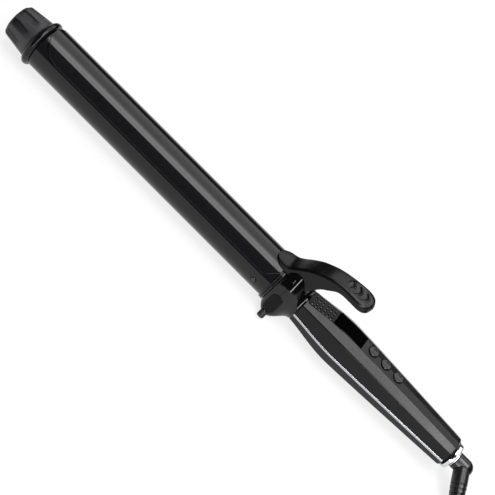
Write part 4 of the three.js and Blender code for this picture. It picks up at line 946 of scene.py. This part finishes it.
hub = hub_whole()
split = HINGE_X - GAP / 2, HINGE_X + GAP / 2
for end, low, high in (("front", HUB_X[0] - 5, split[0]), ("rear", split[1], HUB_X[1] + 5)):
    finish(kept_part(hub, f"hub_shell_{end}", low, high), "base", "hub_gloss", f"hub_{end}")
bpy.data.objects.remove(hub)

for side, label in SIDES:
    plate = badge_tool(f"badge_{label}_plate", side, 0, [
        (0, -BADGE_THICK), (0, -0.3), (0.08, -0.1), (0.3, 0), (0.62, 0), (0.75, -0.12), (0.95, -0.14)])
    finish(plate, "base", "badge_plate", f"badge_{label}", angle=30)
    knob = [(BOSS_REACH - FOOT_SOCKET, 0.0), (BOSS_REACH - FOOT_SOCKET, FOOT_R)]
    knob += arc(foot_end - FOOT_ROUND, foot_flat, FOOT_ROUND, 90, 0)
    knob += [(foot_end - depth, radius) for depth, radius in ((0, 0.75), (0.1, 0.6), (0.6, 0.5), (0.7, 0))]
    finish(foot_tool(f"foot_{label}_knob", side, knob), "base", "foot_rubber", f"foot_{label}")

# ---- handle

FACETS = [(0, 0.892), (27, 0.948), (52, 1), (93, 0.93), (128, 1), (153, 0.948), (180, 0.892)]
WIDEST_R, WIDEST_AT, REAR_R, CHAMFER, WALL, END_WALL, END_EDGE = 17.2, 37.0, 12.2, 2.0, 2.2, 2.5, 0.25
TRIM_LOW, TRIM_TOP, TRIM_DEPTH, TRIM_PROUD, TRIM_EDGE = -2.15, -0.45, 1.6, 0.25, 0.16
DISPLAY_HALF, RAMP_FRONT, RAMP_REAR = 6.2, 4.2, -1.2
BUTTON_R, STEM_R = 4.0, 1.5
STUD_R, STUD_SHANK_R, CROSS_HALF, CROSS_REACH = 2.6, 1.3, 0.35, 1.5
GRIP_HALF, GRIP_FILLET, GRIP_LOW, GRIP_TOP, GRIP_STEPS = 6.8, 1.2, -1.2, -0.05, 24
DOT_PITCH, DOT_ROW, DOT_ROWS = 3.2, 3.1, 2
DOT = [(-0.15, 0.7), (0.03, 0.7), (0.1, 0.56), (0.16, 0.38), (0.19, 0.18), (0.2, 0.0)]
HF, HR = span("handle_upper")
WIDEST_X = HF + WIDEST_AT
BUTTONS = ("power", "minus", "plus")
grip_x, display_x = span("grip_panel"), span("display_lens")
button_xs = [sum(span(f"button_{label}")) / 2 for label in BUTTONS]
screw_xs = [sum(span(f"handle_screw_{i}")) / 2 for i in (1, 2)]


def handle_radius(x):
    if x < WIDEST_X:
        u = max(0.0, (x - HF) / WIDEST_AT)
        return FRONT_R + (WIDEST_R - FRONT_R) * sin(u * pi / 2) ** 1.4
    v = (x - WIDEST_X) / (HR - CHAMFER - WIDEST_X)
    return WIDEST_R - (WIDEST_R - REAR_R) * min(1.0, v) ** 1.15 - 0.9 * max(0.0, x - (HR - CHAMFER))


def ridge_z(x):
    return FACETS[0][1] * handle_radius(x)


def slope_z(x, y, lift=0.0):
    """The height of the two top facets."""
    edge_y, edge_z = polar(FACETS[1][1] * handle_radius(x), FACETS[1][0])
    return ridge_z(x) - abs(y) * (ridge_z(x) - edge_z) / edge_y + lift


def rounded_section(radius, fillet):
    """The twelve-sided section with each corner rounded."""
    corners = [Vector(corner) for corner in mirrored([polar(share * radius, a) for a, share in FACETS])]
    out = []
    for before, corner, after in zip(corners[-1:] + corners, corners, corners[1:] + corners[:1]):
        start = corner + (before - corner).normalized() * fillet
        end = corner + (after - corner).normalized() * fillet
        for t in linspace(0, 1, 5):
            out.append(tuple(start * (1 - t) ** 2 + corner * 2 * t * (1 - t) + end * t * t))
    return out


handle_xs = sorted({*linspace(HF, WIDEST_X, 26), *linspace(WIDEST_X, HR - CHAMFER, 40)})


def handle_whole():
    def outer(x):
        trim = sum(END_EDGE * max(0.0, 1 - away / END_EDGE) for away in (HR - x, x - HF))
        return rounded_section(handle_radius(x) - trim, 0.55)

    outer_xs = sorted({HF + END_EDGE, *handle_xs, HR - CHAMFER + 0.2, HR - END_EDGE, HR})
    inner_xs = [HF - 2, *handle_xs[1:-1], HR - END_WALL]
    inner = skin("inner", inner_xs, lambda x: rounded_section(handle_radius(x) - WALL, 0.5))
    hole = on_swivel(bar("hole", (HR - 6, 0, 0), (HR + 2, 0, 0), SPINDLE_R + GAP))
    return combine(skin("handle_whole", outer_xs, outer), [inner, hole])


def inlay(name, x0, x1, half, low, high, fillet):
    """A panel with rounded corners that follows the two top facets, between two lifts."""
    outline = []
    for cx, cy, start in ((x1 - fillet, half - fillet, 0), (x0 + fillet, half - fillet, 90),
                          (x0 + fillet, -half + fillet, 180), (x1 - fillet, -half + fillet, 270)):
        outline += arc(cx, cy, fillet, start, start + 90, 7)
    points, faces = loft([[(x, y, slope_z(x, y, lift)) for x, y in outline] for lift in (low, high)])
    work = bmesh.new()
    verts = [work.verts.new(place) for place in row(points)]
    for face in faces:
        work.faces.new([verts[i] for i in face])
    cuts = [(x, (1, 0, 0)) for x in linspace(x0, x1, GRIP_STEPS)[1:-1]] + [(x0, (0, 1, 0))]
    for x, normal in cuts:
        bmesh.ops.bisect_plane(work, geom=[*work.verts, *work.edges, *work.faces],
                               plane_co=row((x, 0, 0))[0], plane_no=normal)
    for vert in work.verts:
        x, y, z = vert.co.x * 1000 + HALF, vert.co.y * 1000, vert.co.z * 1000 - REST
        lift = min((low, high), key=lambda level: abs(z - slope_z(x, y, level)))
        vert.co.z = (slope_z(x, y, lift) + REST) / 1000
    bmesh.ops.recalc_face_normals(work, faces=work.faces)
    mesh = bpy.data.meshes.new(name)
    work.to_mesh(mesh)
    work.free()
    return linked(name, mesh)


def ramp(start, run):
    """A cut that falls from the ridge to the edge of the display."""
    low, high = slope_z(start, DISPLAY_HALF + GAP), ridge_z(start + run) + 0.02
    half = DISPLAY_HALF + 1.0

    def section(x):
        z = low + (high - low) * (x - start) / run
        return [(-half, z), (half, z), (half, z + 9), (-half, z + 9)]

    return skin("ramp", sorted((start - run / 4, start + run)), section)


def handle_halves():
    whole = handle_whole()
    lower = kept_part(whole, "handle_base", HF - 9, HR + 9, high=TRIM_LOW - GAP)
    upper = kept_part(whole, "handle_top", HF - 9, HR + 9, low=TRIM_TOP + GAP)
    bpy.data.objects.remove(whole)
    x0, x1 = display_x[0] - GAP, display_x[1] + GAP
    window = DISPLAY_HALF + GAP
    pocket = (grip_x[0] - GAP, grip_x[1] + GAP, GRIP_HALF + GAP, GRIP_LOW - GAP, 4, GRIP_FILLET + GAP)
    tools = [block("window", (x0, -window, 0), (x1, window, FAR)), inlay("pocket", *pocket),
             ramp(x1, RAMP_FRONT), ramp(x0, RAMP_REAR)]
    combine(upper, tools + [bar("hole", (x, 0, 0), (x, 0, FAR), BUTTON_R + GAP, 64) for x in button_xs])
    tools = []
    for x in screw_xs:
        tools.append(bar("head", (x, 0, -FAR), (x, 0, -ridge_z(x) + WALL / 2), STUD_R + GAP))
        tools.append(bar("shank", (x, 0, -FAR), (x, 0, 0), STUD_SHANK_R + GAP, 32))
    return upper, combine(lower, tools)


for half, node in zip(handle_halves(), ("handle_upper", "handle_lower")):
    finish(half, "base", "handle_satin", node)


def trim_strip(side, label):
    """A flat strip with eased edges that follows the seam."""
    steps = [(0, TRIM_DEPTH), (0, TRIM_EDGE), (0.3 * TRIM_EDGE, 0.3 * TRIM_EDGE), (TRIM_EDGE, 0)]

    def section(x):
        out = FACETS[3][1] * handle_radius(x) + TRIM_PROUD
        return ([(side * (out - cut), TRIM_LOW + rise) for rise, cut in steps]
                + [(side * (out - cut), TRIM_TOP - rise) for rise, cut in steps[::-1]])

    return skin(f"trim_{label}_strip", [x for x in handle_xs if x <= span("trim_left")[1] + 1e-3], section)


for side, label in SIDES:
    finish(trim_strip(side, label), "base", "trim_chrome", f"trim_{label}", angle=50)


def grip():
    """A soft panel with rows of low round dots."""
    x0, x1 = grip_x
    columns = int((x1 - x0 - 4) // DOT_PITCH) + 1
    start = (x0 + x1) / 2 - (columns - 1) / 2 * DOT_PITCH
    points, faces = [], []
    for column in range(columns):
        for line in range(-DOT_ROWS, DOT_ROWS + 1):
            x, y = start + column * DOT_PITCH, line * DOT_ROW
            z = slope_z(x, y, -0.1)
            dot = lathe(DOT, 16, lambda h, r, a: (x + r * cos(a), y + r * sin(a), z + h))
            more, skins = loft(dot)
            faces += [[len(points) + i for i in face] for face in skins]
            points += more
    plate = inlay("grip_plate", x0, x1, GRIP_HALF, GRIP_LOW, GRIP_TOP, GRIP_FILLET)
    return combine(plate, [make("bumps", points, faces)], "UNION")


grip_plate = grip()
# painted highlight: the raised dots are painted lighter than the panel
mark_points(grip_plate, lambda x, y, z: smoothstep(z - slope_z(x, y), -0.02, 0.1))
finish(grip_plate, "base", "grip_soft", "grip_panel")

lens = block("display_window", *[(c.x + HALF, c.y, c.z - REST) for c in box_mm("display_lens")])
finish(soften(lens, 0.25), "base", "lens_black", "display_lens")

for x, label in zip(button_xs, BUTTONS):
    low, high = (corner.z - REST for corner in box_mm(f"button_{label}"))
    profile = [(low, 0.0), (low, STEM_R), (high - 4, STEM_R)]
    profile += [(high - drop, BUTTON_R + out) for drop, out in (
        (4, 0.9), (3.1, 0.9), (3.1, -0.02), (0.75, -0.02), (0.5, -0.1), (0.32, -0.32), (0.24, -0.6),
        (0.28, -1), (0.2, -1.5), (0.1, -2.2), (0.03, -3.1), (0, -BUTTON_R))]
    button = rod(f"button_{label}_cap", (x, 0, 0), (0, 0, 1), profile, 72)
    finish(button, f"{label}_button", "button_gloss", f"button_{label}")

for i, x in enumerate(screw_xs, 1):
    low, high = (corner.z - REST for corner in box_mm(f"handle_screw_{i}"))
    profile = [(0.0, 0.0), (0.0, STUD_R - 0.7), (0.12, STUD_R - 0.25), (0.35, STUD_R), (0.9, STUD_R),
               (0.9, STUD_SHANK_R), (high - low, STUD_SHANK_R)]
    stud = rod(f"handle_stud_{i}", (x, 0, low), (0, 0, 1), profile)
    cross = [block("cross", (x - a, -b, low - 1), (x + a, b, low + 0.5))
             for a, b in ((CROSS_HALF, CROSS_REACH), (CROSS_REACH, CROSS_HALF))]
    finish(combine(stud, cross), "base", "dark_steel", f"handle_screw_{i}", angle=35)

# ---- floor and light

FLOOR_REACH, PAPER_GLOW, LAMP_HEIGHT = 30, 0.8, 3.0
floor_mesh = bpy.data.meshes.new("floor")
corners = [(x * FLOOR_REACH, y * FLOOR_REACH, 0) for x, y in ((-1, -1), (1, -1), (1, 1), (-1, 1))]
floor_mesh.from_pydata(corners, [], [(0, 1, 2, 3)])
linked("floor", floor_mesh)
paper = bpy.data.materials.new("paper")
paper.use_nodes = True
n = Nodes(paper.node_tree)
rays = n.add("LightPath").outputs
seen = n.math("MAXIMUM", rays["Is Camera Ray"], rays["Is Glossy Ray"])
share = n.math("MULTIPLY", n.math("MAXIMUM", seen, rays["Is Transmission Ray"]), PAPER_GLOW)
mix = n.add("MixShader")
n.put(mix, 0, share)
n.put(mix, 1, n.add("BsdfDiffuse", Color=(0.8, 0.8, 0.8, 1)).outputs[0])
n.put(mix, 2, n.add("Emission", Color=(1, 1, 1, 1), Strength=1.0).outputs[0])
n.end(mix)
floor_mesh.materials.append(paper)

world = bpy.data.worlds.new("studio")
scene.world = world
world.use_nodes = True
n = Nodes(world.node_tree)
n.end(n.add("Background", Color=(0.02, 0.02, 0.02, 1), Strength=1.0), "OutputWorld")


def softbox(name, width, height, radiance):
    light = bpy.data.lights.new(name, "AREA")
    light.shape = "RECTANGLE"
    light.size, light.size_y = width, height
    light.energy = radiance * pi * width * height
    made = linked(name, light)
    made.visible_camera = False
    return made


def lamp(name, front, rear, half_width, radiance):
    """A softbox overhead that reaches between two elevations, seen from the object."""
    y0, y1 = (-LAMP_HEIGHT / tan(radians(e)) for e in (front, rear))
    softbox(name, 2 * half_width, y1 - y0, radiance).location = (0, (y0 + y1) / 2, LAMP_HEIGHT)


def side_lamp(name, low, high, width, radiance):
    """A tall softbox beyond the tail's end, from its low end to its high one, turned to face the tool."""
    low, high = Vector(low), Vector(high)
    middle, long = (low + high) / 2, (high - low).normalized()
    toward = (middle - long * long.dot(middle)).normalized()
    made = softbox(name, width, (high - low).length, radiance)
    made.matrix_world = placed(long.cross(toward), long, toward, middle)


lamp("key", 67, 92, 0.95, 6.2)
lamp("shoulder", 92, 100, 0.95, 3.2)
lamp("fill", 100, 150, 2.3, 1.8)
side_lamp("right_box", (0.75, -2.2, 0.02), (0.75, 0.4, 2.15), 0.3, 12.0)
